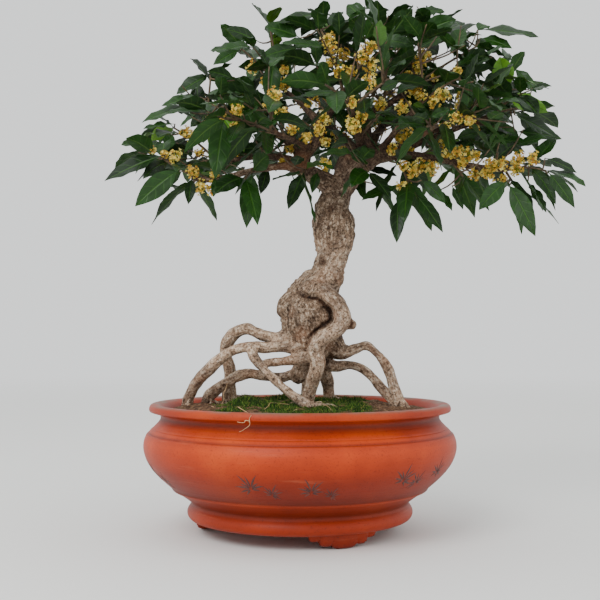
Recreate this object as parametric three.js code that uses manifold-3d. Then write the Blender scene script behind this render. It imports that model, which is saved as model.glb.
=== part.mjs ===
// A sweet osmanthus bonsai in its round clay pot: roots that arch out of mossy soil, one leaning
// trunk with a burl, and a wide crown of leafy twigs with bunches of small yellow flowers.
// Millimetres, +Z up. The tree is laid out round the pot's axis with z = 0 under the feet, and
// the whole is then moved so that the middle of its box stands over the origin.
import {
  BufferAttribute, BufferGeometry, Box3, BoxGeometry, CatmullRomCurve3, CylinderGeometry, Group,
  LatheGeometry, Mesh, MeshStandardMaterial, OctahedronGeometry, Vector2, Vector3,
} from 'three';
import { mergeVertices } from 'three/addons/utils/BufferGeometryUtils.js';
import Module from 'manifold-3d';

const wasm = await Module();
wasm.setup();
const { Manifold } = wasm;

const CLEARANCE = 0.3;          // air left between two pieces that touch on the real tree
const FACET = 0.1;              // the least size of a facet of the wood and the flowers
const UP = new Vector3(0, 0, 1);

// Pot: thrown round, with a rolled lip, a full belly, a tight waist and a foot ring on three feet.
const POT_SIDES = 24;
const POT_OUTSIDE = [           // radius and height, from under the floor up to the lip
  [150, 27], [155, 21], [162, 21], [170, 28], [169, 36], [165, 42], [170, 50], [202, 74],
  [229, 104], [236, 128], [231, 148], [211, 168], [212, 177], [225, 181], [225, 189],
];
const POT_INSIDE = [            // radius and height, from the lip down to the floor
  [221, 192], [211, 191], [200, 172], [222, 134], [205, 94], [150, 42],
];
const DRAIN_RADIUS = 14;
const DRAIN_SPAN = [27, 42];    // the heights between which the drain hole runs through the floor
const FOOT_AZIMUTHS = [24, 144, 264];   // degrees round the pot, from the front towards the right
const FOOT_OUTER = 157;
const FOOT_INNER = 130;
const FOOT_TOP = 32;
const FOOT_EDGE = [             // its lobed underside: distance from the middle, and height
  [-52, 20], [-47, 12], [-36, 10], [-33, 4], [-20, 3], [-16, 0], [16, 0], [20, 3], [33, 4],
  [36, 10], [47, 12], [52, 20],
];

// Soil: heaped a little in the middle, with low cushions where moss has grown.
const SOIL_TOP = [[200, 183], [150, 189], [80, 192], [0, 193]];
const SOIL_CUSHION = 4;

// Wood: each limb is a list of [x, y, z, radius], from where it leaves its parent.
const LIMBS = {
  trunk: [
    [22, 8, 262, 24], [17, 6, 289, 36], [12, 4, 317, 42], [14, 3, 343, 40], [28, 2, 366, 33],
    [40, 0, 384, 26], [44, 0, 401, 23], [48, 0, 418, 24], [51, 0, 434, 29], [52, 0, 451, 32],
    [52, 0, 466, 33], [50, 0, 481, 29], [53, 0, 496, 24], [60, 0, 509, 19], [64, 0, 524, 19],
    [68, 0, 539, 17], [71, 2, 556, 15], [73, 3, 570, 12],
  ],
  burl: [[20, -11, 332, 31], [38, -10, 297, 21]],
  crown_left: [[18, -8, 341, 26], [-6, -8, 347, 20], [-20, -6, 340, 15], [-24, -4, 325, 13]],
  crown_right: [[34, 2, 308, 27], [48, 6, 285, 21], [61, 8, 271, 15], [74, 6, 268, 10]],
  front_root: [
    [33, -22, 363, 15], [47, -30, 351, 13], [60, -34, 336, 13], [64, -38, 320, 13],
    [57, -42, 306, 12], [41, -46, 295, 12], [28, -48, 283, 13], [23, -48, 269, 12],
    [26, -46, 254, 11], [22, -40, 236, 11], [16, -30, 218, 11], [12, -22, 202, 11],
    [9, -16, 187, 12], [8, -12, 169, 8],
  ],
  front_knob: [[60, -38, 316, 10], [74, -38, 311, 9], [82, -38, 309, 6]],
  right_arch: [
    [50, 6, 276, 13], [70, 4, 269, 10], [86, 2, 274, 9], [101, 0, 278, 8], [113, -4, 271, 7],
    [125, -8, 258, 7], [134, -12, 242, 8], [139, -14, 226, 8], [144, -16, 209, 8],
    [150, -16, 193, 9], [154, -16, 174, 7],
  ],
  right_toe: [[147, -17, 200, 6], [158, -25, 189, 5], [167, -32, 178, 4]],
  right_low: [
    [34, 20, 256, 12], [54, 22, 247, 9], [77, 22, 249, 7], [96, 20, 243, 7], [110, 18, 231, 7],
    [123, 14, 216, 7], [136, 8, 202, 7], [146, 2, 188, 7], [150, -2, 174, 6],
  ],
  back_root: [
    [28, 25, 268, 14], [34, 37, 245, 10], [42, 46, 227, 10], [46, 55, 207, 10], [47, 60, 188, 11],
    [47, 60, 172, 9],
  ],
  back_tail: [
    [12, 34, 322, 16], [18, 72, 300, 12], [16, 98, 268, 10], [12, 114, 234, 9], [10, 122, 205, 10],
    [10, 124, 174, 8],
  ],
  cut_root: [[12, 15, 268, 14], [2, 12, 247, 13], [-3, 10, 234, 13], [-3, 10, 222, 10]],
  left_arch: [
    [-4, 0, 300, 16], [-31, 0, 289, 11], [-52, 2, 294, 10], [-68, 6, 300, 9], [-84, 10, 305, 10],
    [-101, 18, 298, 10], [-113, 28, 283, 10], [-116, 40, 266, 10], [-112, 52, 248, 10],
    [-110, 62, 229, 10], [-112, 69, 210, 10], [-113, 72, 191, 11], [-113, 72, 174, 9],
  ],
  left_long: [
    [4, -10, 278, 14], [-23, -14, 277, 10], [-48, -16, 276, 8], [-72, -18, 277, 8],
    [-91, -18, 275, 9], [-110, -14, 267, 9], [-128, -8, 253, 9], [-144, 2, 238, 9],
    [-159, 14, 222, 9], [-169, 26, 207, 10], [-175, 36, 193, 10], [-177, 38, 176, 8],
  ],
  cross_root: [
    [-75, -19, 276, 7], [-70, -30, 262, 8], [-58, -38, 248, 7], [-41, -46, 232, 7],
    [-25, -52, 217, 7], [-10, -56, 206, 7], [5, -60, 196, 8], [23, -68, 186, 7], [42, -78, 174, 6],
  ],
  mid_root: [[18, -15, 262, 12], [-8, -22, 258, 8], [-33, -28, 255, 7], [-52, -32, 252, 7]],
  low_root: [
    [28, 10, 250, 13], [3, 14, 241, 9], [-22, 18, 231, 8], [-50, 22, 231, 7], [-75, 26, 235, 7],
    [-97, 30, 231, 8], [-116, 36, 220, 8], [-133, 44, 208, 9], [-147, 52, 194, 9],
    [-153, 56, 176, 7],
  ],
  left_limb: [
    [60, -2, 512, 17], [43, -8, 526, 14], [26, -14, 535, 13], [9, -20, 543, 12], [-5, -24, 551, 11],
  ],
  left_stub: [[-4, -25, 550, 7], [-11, -30, 536, 4]],
  left_low: [
    [-2, -24, 550, 9], [-24, -30, 549, 7], [-53, -38, 545, 5], [-79, -46, 538, 4.5],
    [-104, -54, 530, 4], [-130, -62, 523, 4], [-152, -70, 524, 3.5],
  ],
  left_second: [
    [-5, -20, 555, 8], [-26, -16, 565, 6], [-55, -8, 568, 5], [-83, 0, 567, 4.5], [-108, 8, 566, 4],
    [-133, 14, 569, 3.5],
  ],
  left_riser: [
    [-2, -24, 553, 11], [6, -26, 568, 10], [20, -28, 580, 9], [29, -30, 596, 8], [36, -32, 615, 6.5],
    [48, -36, 633, 5.5], [59, -40, 645, 5], [64, -44, 661, 4],
  ],
  left_back: [
    [6, -14, 558, 9], [-6, 10, 581, 6.5], [-25, 36, 602, 5], [-48, 60, 621, 4], [-72, 80, 639, 3.5],
  ],
  left_front: [[15, -30, 576, 7], [-3, -60, 579, 5], [-23, -92, 582, 4], [-43, -120, 584, 3.5]],
  left_high: [
    [33, -30, 607, 6.5], [18, -20, 629, 5], [0, -10, 651, 4.5], [-19, 0, 669, 4],
    [-37, 6, 685, 3.5],
  ],
  right_limb: [
    [62, 0, 510, 17], [77, -4, 532, 17], [92, -8, 550, 16], [107, -12, 563, 15],
    [124, -14, 570, 12],
  ],
  right_low_limb: [
    [116, -14, 567, 11], [140, -20, 567, 8], [166, -28, 567, 6.5], [195, -36, 561, 5.5],
    [224, -44, 554, 5], [253, -52, 546, 4.5], [281, -60, 541, 4], [303, -66, 537, 3.5],
  ],
  right_long: [
    [124, -13, 571, 9], [156, -10, 579, 6.5], [181, -6, 588, 5.5], [207, -4, 598, 5],
    [234, -4, 609, 4.5], [258, -4, 618, 4], [283, -4, 627, 4], [306, -4, 638, 3.5],
  ],
  riser: [
    [104, -8, 563, 13], [103, -2, 585, 10], [102, 4, 604, 8.5], [104, 8, 624, 7], [112, 10, 639, 6],
    [131, 12, 650, 5], [153, 14, 665, 4.5], [172, 16, 679, 4],
  ],
  riser_top: [
    [104, 8, 621, 6], [96, 4, 642, 5], [88, 0, 661, 4.5], [82, -4, 677, 4], [77, -8, 695, 3.5],
  ],
  right_thin: [
    [122, -18, 572, 7], [135, -36, 590, 5], [149, -52, 606, 4.5], [164, -66, 621, 4],
    [177, -78, 633, 3.5],
  ],
  back_right_high: [
    [105, 2, 578, 10], [117, 40, 606, 7], [133, 76, 632, 5.5], [152, 110, 660, 4.5],
    [169, 140, 687, 3.5],
  ],
  back_right: [
    [124, -4, 572, 9], [161, 36, 598, 6], [200, 70, 618, 5], [240, 100, 638, 4],
    [277, 124, 656, 3.5],
  ],
  back_left: [
    [98, 0, 566, 10], [82, 40, 593, 7], [65, 74, 619, 5.5], [46, 104, 642, 4.5],
    [27, 128, 664, 3.5],
  ],
  front: [
    [101, -12, 571, 9], [89, -50, 584, 6], [81, -86, 595, 5], [77, -120, 602, 4],
    [72, -150, 609, 3.5],
  ],
  front_right: [[139, -20, 568, 8], [157, -60, 576, 5], [173, -96, 581, 4], [187, -126, 586, 3.5]],
};
const STOUT_SIDES = { trunk: 11, crown_left: 7, crown_right: 7 };
const ROOT_SIDES = 6;
const BRANCH_SIDES = 5;
const THICK = 6;                // a limb whose far end is thinner than this has the fewer sides
const ROW_LENGTH = 32;          // a limb is faceted in rows about this long
const WOOD_LOBES = 0.06;        // how deep the swellings round the wood are, per radius
const LOBE_TURN = [0.9, 0.6];   // how far the three and the two swellings turn from row to row

// Leafy stems: each is one or two twigs that fork where they leave the wood. A twig is three
// points and the number of leaf pairs along it.
const STEMS = {
  left_low: [
    { path: [[-151, -69, 524], [-182, -80, 541], [-214, -90, 556]], pairs: 3 },
    { path: [[-151, -69, 524], [-162, -52, 520], [-178, -36, 518]], pairs: 2 },
  ],
  left_second: [
    { path: [[-132, 14, 569], [-164, 22, 598], [-200, 32, 622]], pairs: 3 },
    { path: [[-132, 14, 569], [-142, 4, 630], [-138, -4, 690]], pairs: 2 },
  ],
  left_high: [
    { path: [[-36, 6, 684], [-62, 10, 714], [-92, 14, 742]], pairs: 3 },
    { path: [[-36, 6, 684], [-40, -12, 726], [-46, -24, 768]], pairs: 2 },
  ],
  left_riser: [
    { path: [[64, -44, 660], [50, -54, 706], [30, -62, 750]], pairs: 3 },
    { path: [[64, -44, 660], [86, -64, 688], [106, -82, 714]], pairs: 2 },
  ],
  left_back: [
    { path: [[-71, 79, 638], [-106, 100, 662], [-142, 120, 680]], pairs: 3 },
    { path: [[-71, 79, 638], [-78, 112, 656], [-80, 144, 668]], pairs: 2 },
  ],
  left_front: [
    { path: [[-42, -119, 584], [-72, -142, 592], [-104, -160, 594]], pairs: 3 },
    { path: [[-42, -119, 584], [-40, -150, 600], [-30, -180, 612]], pairs: 2 },
  ],
  right_low: [
    { path: [[302, -66, 537], [330, -74, 540], [358, -80, 534]], pairs: 3 },
    { path: [[302, -66, 537], [316, -56, 520], [330, -50, 506]], pairs: 2 },
  ],
  right_long: [
    { path: [[305, -4, 637], [334, 0, 644], [362, 6, 640]], pairs: 3 },
    { path: [[305, -4, 637], [318, 10, 670], [328, 22, 704]], pairs: 2 },
  ],
  riser: [
    { path: [[171, 16, 678], [194, 20, 728], [212, 24, 776]], pairs: 3 },
    { path: [[171, 16, 678], [224, 8, 714], [274, 2, 742]], pairs: 3 },
  ],
  riser_top: [
    { path: [[77, -8, 694], [88, -4, 738], [98, 2, 780]], pairs: 3 },
    { path: [[77, -8, 694], [60, -2, 732], [38, 8, 768]], pairs: 2 },
  ],
  right_thin: [
    { path: [[176, -77, 632], [202, -98, 650], [228, -116, 662]], pairs: 3 },
    { path: [[176, -77, 632], [176, -100, 670], [168, -122, 706]], pairs: 2 },
  ],
  back_right_high: [
    { path: [[168, 139, 686], [196, 162, 714], [226, 182, 740]], pairs: 3 },
    { path: [[168, 139, 686], [146, 160, 720], [122, 178, 752]], pairs: 2 },
  ],
  back_right: [
    { path: [[276, 123, 655], [306, 138, 662], [336, 150, 660]], pairs: 3 },
    { path: [[276, 123, 655], [288, 112, 684], [298, 100, 710]], pairs: 2 },
  ],
  back_left: [
    { path: [[28, 127, 663], [2, 152, 692], [-26, 176, 716]], pairs: 3 },
    { path: [[28, 127, 663], [44, 162, 698], [58, 192, 730]], pairs: 2 },
  ],
  front: [
    { path: [[72, -149, 609], [54, -176, 622], [34, -198, 630]], pairs: 3 },
    { path: [[72, -149, 609], [96, -172, 626], [120, -190, 640]], pairs: 2 },
  ],
  front_right: [
    { path: [[186, -125, 586], [214, -148, 594], [240, -168, 596]], pairs: 3 },
    { path: [[186, -125, 586], [180, -156, 584], [172, -184, 576]], pairs: 2 },
  ],
  low_left: [{ path: [[-66, -42, 541], [-74, -62, 534], [-80, -84, 522]], pairs: 2 }],
  low_right: [{ path: [[224, -44, 554], [232, -62, 540], [238, -82, 524]], pairs: 2 }],
  low_middle: [{ path: [[140, -20, 566], [152, -42, 546], [160, -60, 520]], pairs: 2 }],
  crotch: [{ path: [[92, -8, 550], [98, -44, 546], [100, -72, 534]], pairs: 2 }],
  long_middle: [{ path: [[234, -4, 609], [246, -20, 654], [254, -36, 698]], pairs: 2 }],
  back_low_right: [{ path: [[200, 70, 618], [214, 104, 606], [226, 136, 592]], pairs: 2 }],
  back_low: [{ path: [[65, 74, 619], [60, 112, 612], [54, 148, 600]], pairs: 2 }],
  back_low_left: [{ path: [[-25, 36, 602], [-44, 64, 590], [-62, 92, 576]], pairs: 2 }],
  left_limb: [{ path: [[9, -20, 543], [6, -50, 540], [2, -72, 530]], pairs: 2 }],
  riser_back: [{ path: [[94, 3, 646], [68, 33, 653], [44, 57, 662]], pairs: 2 }],
  left_middle: [{ path: [[31, -31, 600], [4, -52, 612], [-18, -72, 622]], pairs: 2 }],
  right_middle: [{ path: [[181, -6, 588], [196, 24, 612], [210, 48, 636]], pairs: 2 }],
  high_middle: [
    { path: [[131, 12, 650], [132, -20, 696], [136, -48, 738]], pairs: 2 },
    { path: [[131, 10, 653], [112, 36, 678], [90, 54, 699]], pairs: 2 },
  ],
};
const TWIG_SIDES = 3;
const TWIG_RADIUS = [2.8, 1.9];  // where a twig leaves the wood, and at its end

// Leaf: a leathery pointed blade, folded a little along its rib, that arches over under its weight.
const LEAF_LENGTH = [54, 70];
const LEAF_WIDTH = 0.45;        // of the length
const LEAF_STATIONS = [[0.27, 0.84], [0.55, 1], [0.8, 0.66]];   // along the leaf, share of its width
const LEAF_RIB = 2;             // how far the rib stands out under the blade
const LEAF_WAVE = 0.9;          // how far the edges wave up and down
const FIRST_PAIR = 0.3;         // where the first and last pairs sit along a twig
const LAST_PAIR = 0.96;
const LEAF_ANGLES = [64, 34];   // degrees between a leaf and its twig, at the first and last pair
const PAIR_TILT = 34;           // degrees that each pair is turned out of the level, left and right
const DROOP = [0.15, 0.62];     // how far the tip sinks, per length
const ROLL = 1;                 // most that a blade is turned about its rib, in radians
const LEAN_PLAY = 8;            // degrees by which the lean of a pair varies
const TILT_PLAY = 20;           // degrees by which its tilt varies
const LEAF_SUNK = 1.2;          // how deep the foot of a leaf is sunk in its twig
const TRY_TURNS = [0, 24, -24, 48, -48, 75, -75];   // degrees a leaf may turn round its twig to clear

// Room: places that are held for what has grown, so that leaves keep clear of it.
const LEAF_CLEAR = 7;           // least distance between places on two leaves
const WOOD_CLEAR = 2;           // air round a limb
const LIMB_STEP = 7;            // from one held place to the next along a limb
const LEAF_STEPS = 8;           // rows of places along a leaf, each with five across it
const PARTS_ACROSS = [-1, -0.5, 0, 0.5, 1];
const ROWS_AT_TWIG = 3;         // the rows of a leaf that may lie close to its own twig
const MIDDLE_ROW = 4;

// Flower bunch: heads of four-petalled florets in the axils, close against the wood.
const HEAD_RADIUS = 12.5;
const HEAD_RELIEF = { middle: 0.76, petal: 1, gap: 0.4 };
const HEAD_STEP = 17;           // from one head to the next along the wood
const CLOSING_STEPS = 12;
const FAR = 3 * HEAD_RADIUS;    // as far as a head looks for the wood that it closes up to
const SIDES = {
  front: [0, -1, 0.25], above: [0, -0.3, 1], below: [0, -0.5, -1], back: [0, 1, 0.25],
};
const BUNCHES = [               // what carries it, how far along, the side it is on, and its heads
  ['left_riser/0', 0.62, 'front', 2], ['riser_top/1', 0.34, 'front', 1],
  ['left_riser/1', 0.8, 'front', 2], ['left_high', 0.84, 'front', 1],
  ['left_high/0', 0.56, 'below', 1], ['left_front/1', 0.66, 'above', 2],
  ['left_front', 0.53, 'above', 1], ['left_riser', 0.47, 'front', 2],
  ['left_limb', 0.5, 'above', 1], ['front', 0.76, 'below', 2], ['riser', 0.66, 'front', 1],
  ['riser/0', 0.3, 'front', 2], ['right_thin', 0.72, 'above', 1],
  ['right_thin/0', 0.3, 'below', 2], ['long_middle/0', 0.36, 'front', 2],
  ['right_long', 0.48, 'below', 1], ['right_long', 0.14, 'above', 2],
  ['right_low_limb', 0.6, 'above', 2], ['right_low_limb', 0.86, 'front', 2],
  ['right_low/0', 0.34, 'above', 2], ['right_low_limb', 0.38, 'below', 2],
  ['left_second/1', 0.42, 'front', 1], ['left_second/0', 0.46, 'front', 2],
  ['left_low/0', 0.58, 'above', 1], ['left_low', 0.84, 'below', 2],
  ['back_left/1', 0.5, 'back', 1], ['back_right/1', 0.4, 'back', 1],
  ['left_back/1', 0.5, 'back', 1],
];

const COLOURS = { clay: 0xb4472a, soil: 0x5d5a2c, wood: 0x8b735b, leaf: 0x35552a, flower: 0xd9b441 };

// A seeded draw between 0 and 1, so that every build gives the same tree.
let seed = 20251;
function draw() {
  seed = (seed * 16807) % 2147483647;
  return seed / 2147483647;
}
const between = ([low, high]) => low + (high - low) * draw();
const degrees = (angle) => (angle * Math.PI) / 180;
const mix = (a, b, share) => a + (b - a) * share;
const vector = ([x, y, z]) => new Vector3(x, y, z);

// A closed three.js geometry as a solid.
function solid(geometry) {
  const bare = geometry.clone();
  for (const name of Object.keys(bare.attributes)) {
    if (name !== 'position') bare.deleteAttribute(name);
  }
  const merged = mergeVertices(bare, 1e-4);
  return new Manifold(new wasm.Mesh({
    numProp: 3,
    vertProperties: new Float32Array(merged.attributes.position.array),
    triVerts: new Uint32Array(merged.index.array),
  }));
}

// A solid as a named mesh.
function mesh(name, body, colour, roughness) {
  const { vertProperties, triVerts } = body.getMesh();
  const geometry = new BufferGeometry();
  geometry.setAttribute('position', new BufferAttribute(new Float32Array(vertProperties), 3));
  geometry.setIndex(new BufferAttribute(new Uint32Array(triVerts), 1));
  geometry.computeVertexNormals();
  const material = new MeshStandardMaterial({ color: colour, roughness, metalness: 0 });
  const piece = new Mesh(geometry, material);
  piece.name = name;
  return piece;
}

// The largest body of a solid, without the crumbs and the needle-thin facets that a cut can leave.
function largest(body) {
  return body.decompose().sort((a, b) => b.volume() - a.volume())[0].simplify(FACET);
}

// The smooth path through a list of points, and its radius, at a share of its length.
function pathOf(points) {
  return new CatmullRomCurve3(points.map(vector), false, 'catmullrom');
}
function radiusAt(points, share) {
  const place = share * (points.length - 1);
  const before = Math.min(Math.floor(place), points.length - 2);
  return mix(points[before][3], points[before + 1][3], place - before);
}

// A round limb along a path: a cylinder whose rows are carried to the path's stations. With grow
// it is that much fatter and longer, to cut what fits round it.
function limb(points, sides, { grow = 0, lobes = 0 } = {}) {
  const path = pathOf(points);
  const rows = Math.max(2, Math.round(path.getLength() / ROW_LENGTH));
  const side = new Vector3(0.31, 0.95, 0.05);
  const stations = [];
  for (let row = 0; row <= rows; row += 1) {
    const share = row / rows;
    const middle = path.getPoint(share);
    const along = path.getTangent(share);
    side.addScaledVector(along, -side.dot(along)).normalize();
    if (row === 0) middle.addScaledVector(along, -grow);
    if (row === rows) middle.addScaledVector(along, grow);
    const across = new Vector3().crossVectors(along, side);
    stations.push({ middle, side: side.clone(), across, radius: radiusAt(points, share) });
  }
  const geometry = new CylinderGeometry(1, 1, 1, sides, rows);
  const position = geometry.attributes.position;
  const corner = new Vector3();
  for (let i = 0; i < position.count; i += 1) {
    const row = Math.round((0.5 - position.getY(i)) * rows);
    const { middle, side: out, across, radius } = stations[row];
    const x = position.getX(i);
    const z = position.getZ(i);
    const angle = Math.atan2(x, z);
    const threes = Math.sin(3 * angle + row * LOBE_TURN[0]);
    const twos = Math.sin(2 * angle - row * LOBE_TURN[1]);
    const reach = radius * (1 + lobes * (threes + twos)) + grow;
    corner.copy(middle).addScaledVector(out, x * reach).addScaledVector(across, z * reach);
    position.setXYZ(i, corner.x, corner.y, corner.z);
  }
  return solid(geometry);
}

// Pot: one turned profile with a drain hole, joined to its three feet.
function makePot() {
  const [below, above] = DRAIN_SPAN.map((z) => [DRAIN_RADIUS, z]);
  const profile = [below, ...POT_OUTSIDE, ...POT_INSIDE, above, below];
  const turned = new LatheGeometry(profile.map(([r, z]) => new Vector2(r, z)), POT_SIDES);
  turned.rotateX(Math.PI / 2);
  return Manifold.union([solid(turned), ...FOOT_AZIMUTHS.map(makeFoot)]);
}

// A foot: a block bent round the ring, with its underside cut in lobes like a cloud.
function makeFoot(azimuth) {
  const columns = FOOT_EDGE.length - 1;
  const geometry = new BoxGeometry(columns, 1, 1, columns, 1, 1);
  const position = geometry.attributes.position;
  for (let i = 0; i < position.count; i += 1) {
    const [distance, underside] = FOOT_EDGE[Math.round(position.getX(i) + columns / 2)];
    const radius = position.getY(i) < 0 ? FOOT_OUTER : FOOT_INNER;
    const angle = degrees(azimuth) + distance / FOOT_OUTER;
    const z = position.getZ(i) > 0 ? FOOT_TOP : underside;
    position.setXYZ(i, radius * Math.sin(angle), -radius * Math.cos(angle), z);
  }
  return solid(geometry);
}

// Soil: it fills the pot up to the lip, and every root stands in a hole of its own shape.
function makeSoil(woodSleeve) {
  const side = POT_INSIDE.slice(2).reverse().map(([r, z]) => [r - CLEARANCE, z + CLEARANCE]);
  const profile = [[0, DRAIN_SPAN[1] + CLEARANCE], ...side, ...SOIL_TOP];
  const heap = new LatheGeometry(profile.map(([r, z]) => new Vector2(r, z)), POT_SIDES);
  heap.rotateX(Math.PI / 2);
  const position = heap.attributes.position;
  for (let i = 0; i < position.count; i += 1) {
    const [x, y, z] = [position.getX(i), position.getY(i), position.getZ(i)];
    if (z <= SOIL_TOP[0][1]) continue;
    position.setZ(i, z + SOIL_CUSHION * Math.sin(x / 33 + 1) * Math.cos(y / 41 - 0.6));
  }
  return solid(heap).subtract(woodSleeve);
}

// Wood: trunk, roots and branches are one grown piece.
function sidesOf(name, points) {
  if (STOUT_SIDES[name]) return STOUT_SIDES[name];
  return points.at(-1)[3] < THICK ? BRANCH_SIDES : ROOT_SIDES;
}
function makeWood(grow) {
  return largest(Manifold.union(Object.entries(LIMBS).map(([name, points]) => (
    limb(points, sidesOf(name, points), { grow, lobes: WOOD_LOBES })
  ))));
}

// Twigs: a twig's points with the radius at each.
function twigPoints(path) {
  return path.map((point, i) => [...point, mix(...TWIG_RADIUS, i / (path.length - 1))]);
}
const twigs = Object.entries(STEMS).flatMap(([stem, forks]) => (
  forks.map(({ path, pairs }, fork) => ({ stem, fork, pairs, points: twigPoints(path) }))
));

// Everything that can carry flowers, by name: the limbs, and each twig as its stem and fork.
const carriers = { ...LIMBS };
for (const { stem, fork, points } of twigs) carriers[`${stem}/${fork}`] = points;

// The heads of a bunch: each has the place on the wood that it grows from, and the way out of it.
function headsOf([carrier, start, sideName, count]) {
  const points = carriers[carrier];
  const path = pathOf(points);
  const heads = [];
  for (let i = 0; i < count; i += 1) {
    const share = start + (i * HEAD_STEP) / path.getLength();
    const along = path.getTangent(share);
    const out = vector(SIDES[sideName]);
    out.addScaledVector(along, -out.dot(along)).normalize();
    const middle = path.getPoint(share).addScaledVector(out, radiusAt(points, share) + HEAD_RADIUS);
    heads.push({ middle, out, along });
  }
  return heads;
}

// A flower head: an octahedron cut in nine on each face. Its six corners become the middles of
// florets, the four places round each corner their petals, and the eight face middles the gaps.
// One floret faces the wood, and the head is closed up to it.
function makeHead({ middle, out, along }, wood) {
  const geometry = new OctahedronGeometry(1, 2);
  const position = geometry.attributes.position;
  const across = new Vector3().crossVectors(out, along);
  const start = middle.clone().addScaledVector(out, HEAD_RADIUS);
  const place = new Vector3();
  for (let i = 0; i < position.count; i += 1) {
    place.fromBufferAttribute(position, i).normalize();
    const most = Math.max(Math.abs(place.x), Math.abs(place.y), Math.abs(place.z));
    const kind = most > 0.95 ? 'middle' : most > 0.7 ? 'petal' : 'gap';
    const reach = HEAD_RADIUS * HEAD_RELIEF[kind];
    const corner = start.clone().addScaledVector(out, place.x * reach);
    corner.addScaledVector(along, place.y * reach).addScaledVector(across, place.z * reach);
    position.setXYZ(i, corner.x, corner.y, corner.z);
  }
  let head = solid(geometry);
  for (let step = 0; step < CLOSING_STEPS; step += 1) {
    const close = head.minGap(wood, FAR) - CLEARANCE;
    head = head.translate(out.clone().multiplyScalar(-close).toArray());
  }
  return head;
}

// Places that leaves keep clear of: each is a point with a radius round it, and the twig it is on.
const held = [];
function hold(point, radius, owner) {
  held.push({ point, radius, owner });
}
function holdAlong(points, owner) {
  const path = pathOf(points);
  const steps = Math.ceil(path.getLength() / LIMB_STEP);
  for (let i = 0; i <= steps; i += 1) {
    hold(path.getPoint(i / steps), radiusAt(points, i / steps) + WOOD_CLEAR, owner);
  }
}

// A leaf's rib and edges at a share of its length.
function leafFrame({ root, along, across, length, droop }, share) {
  const middle = root.clone().addScaledVector(along, length * share);
  middle.addScaledVector(UP, -droop * length * share * share);
  const forward = along.clone().addScaledVector(UP, -2 * droop * share).normalize();
  const side = across.clone().addScaledVector(forward, -across.dot(forward)).normalize();
  return { middle, side, out: new Vector3().crossVectors(side, forward) };
}
function halfWidth(length, share) {
  return 0.5 * LEAF_WIDTH * length * Math.sin(Math.PI * share ** 0.85);
}
function leafPlaces(leaf) {
  const places = [];
  for (let row = 1; row <= LEAF_STEPS; row += 1) {
    const share = row / LEAF_STEPS;
    const { middle, side } = leafFrame(leaf, share);
    const half = halfWidth(leaf.length, Math.min(share, 0.97));
    for (const part of PARTS_ACROSS) {
      places.push({ point: middle.clone().addScaledVector(side, part * half), row });
    }
  }
  return places;
}
function isClear(leaf, owner) {
  const centre = leafFrame(leaf, MIDDLE_ROW / LEAF_STEPS).middle;
  const near = held.filter(({ point, radius }) => point.distanceTo(centre) < leaf.length + radius);
  return leafPlaces(leaf).every(({ point, row }) => near.every((other) => (
    (other.owner === owner && row <= ROWS_AT_TWIG)
      || point.distanceTo(other.point) > other.radius + LEAF_CLEAR / 2
  )));
}
function holdLeaf(leaf, owner) {
  for (const { point, row } of leafPlaces(leaf)) {
    hold(point, LEAF_CLEAR / 2, row <= ROWS_AT_TWIG ? owner : 'leaf');
  }
}

// One leaf as a solid: a point sunk in the twig, three stations of two waved edges and the rib
// under them, and the tip.
function makeLeaf(leaf) {
  const corners = [leafFrame(leaf, 0).middle.addScaledVector(leaf.along, -LEAF_SUNK)];
  LEAF_STATIONS.forEach(([share, width], i) => {
    const { middle, side, out } = leafFrame(leaf, share);
    const half = 0.5 * LEAF_WIDTH * leaf.length * width;
    const wave = (i % 2 ? -1 : 1) * LEAF_WAVE;
    corners.push(middle.clone().addScaledVector(side, -half).addScaledVector(out, wave));
    corners.push(middle.clone().addScaledVector(side, half).addScaledVector(out, -wave));
    corners.push(middle.clone().addScaledVector(out, -LEAF_RIB));
  });
  corners.push(leafFrame(leaf, 1).middle);
  const [left, right, rib] = [1, 2, 3];
  const tip = corners.length - 1;
  const faces = [[0, right, left], [0, left, rib], [0, rib, right]];
  for (let near = 0; near + 3 < tip - 1; near += 3) {
    const far = near + 3;
    faces.push([right + near, right + far, left + far], [right + near, left + far, left + near]);
    faces.push([left + near, left + far, rib + far], [left + near, rib + far, rib + near]);
    faces.push([rib + near, rib + far, right + far], [rib + near, right + far, right + near]);
  }
  const last = tip - 4;
  faces.push([last + right, tip, last + left], [last + left, tip, last + rib]);
  faces.push([last + rib, tip, last + right]);
  const geometry = new BufferGeometry().setFromPoints(corners);
  geometry.setIndex(faces.flat());
  return solid(geometry);
}

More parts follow.
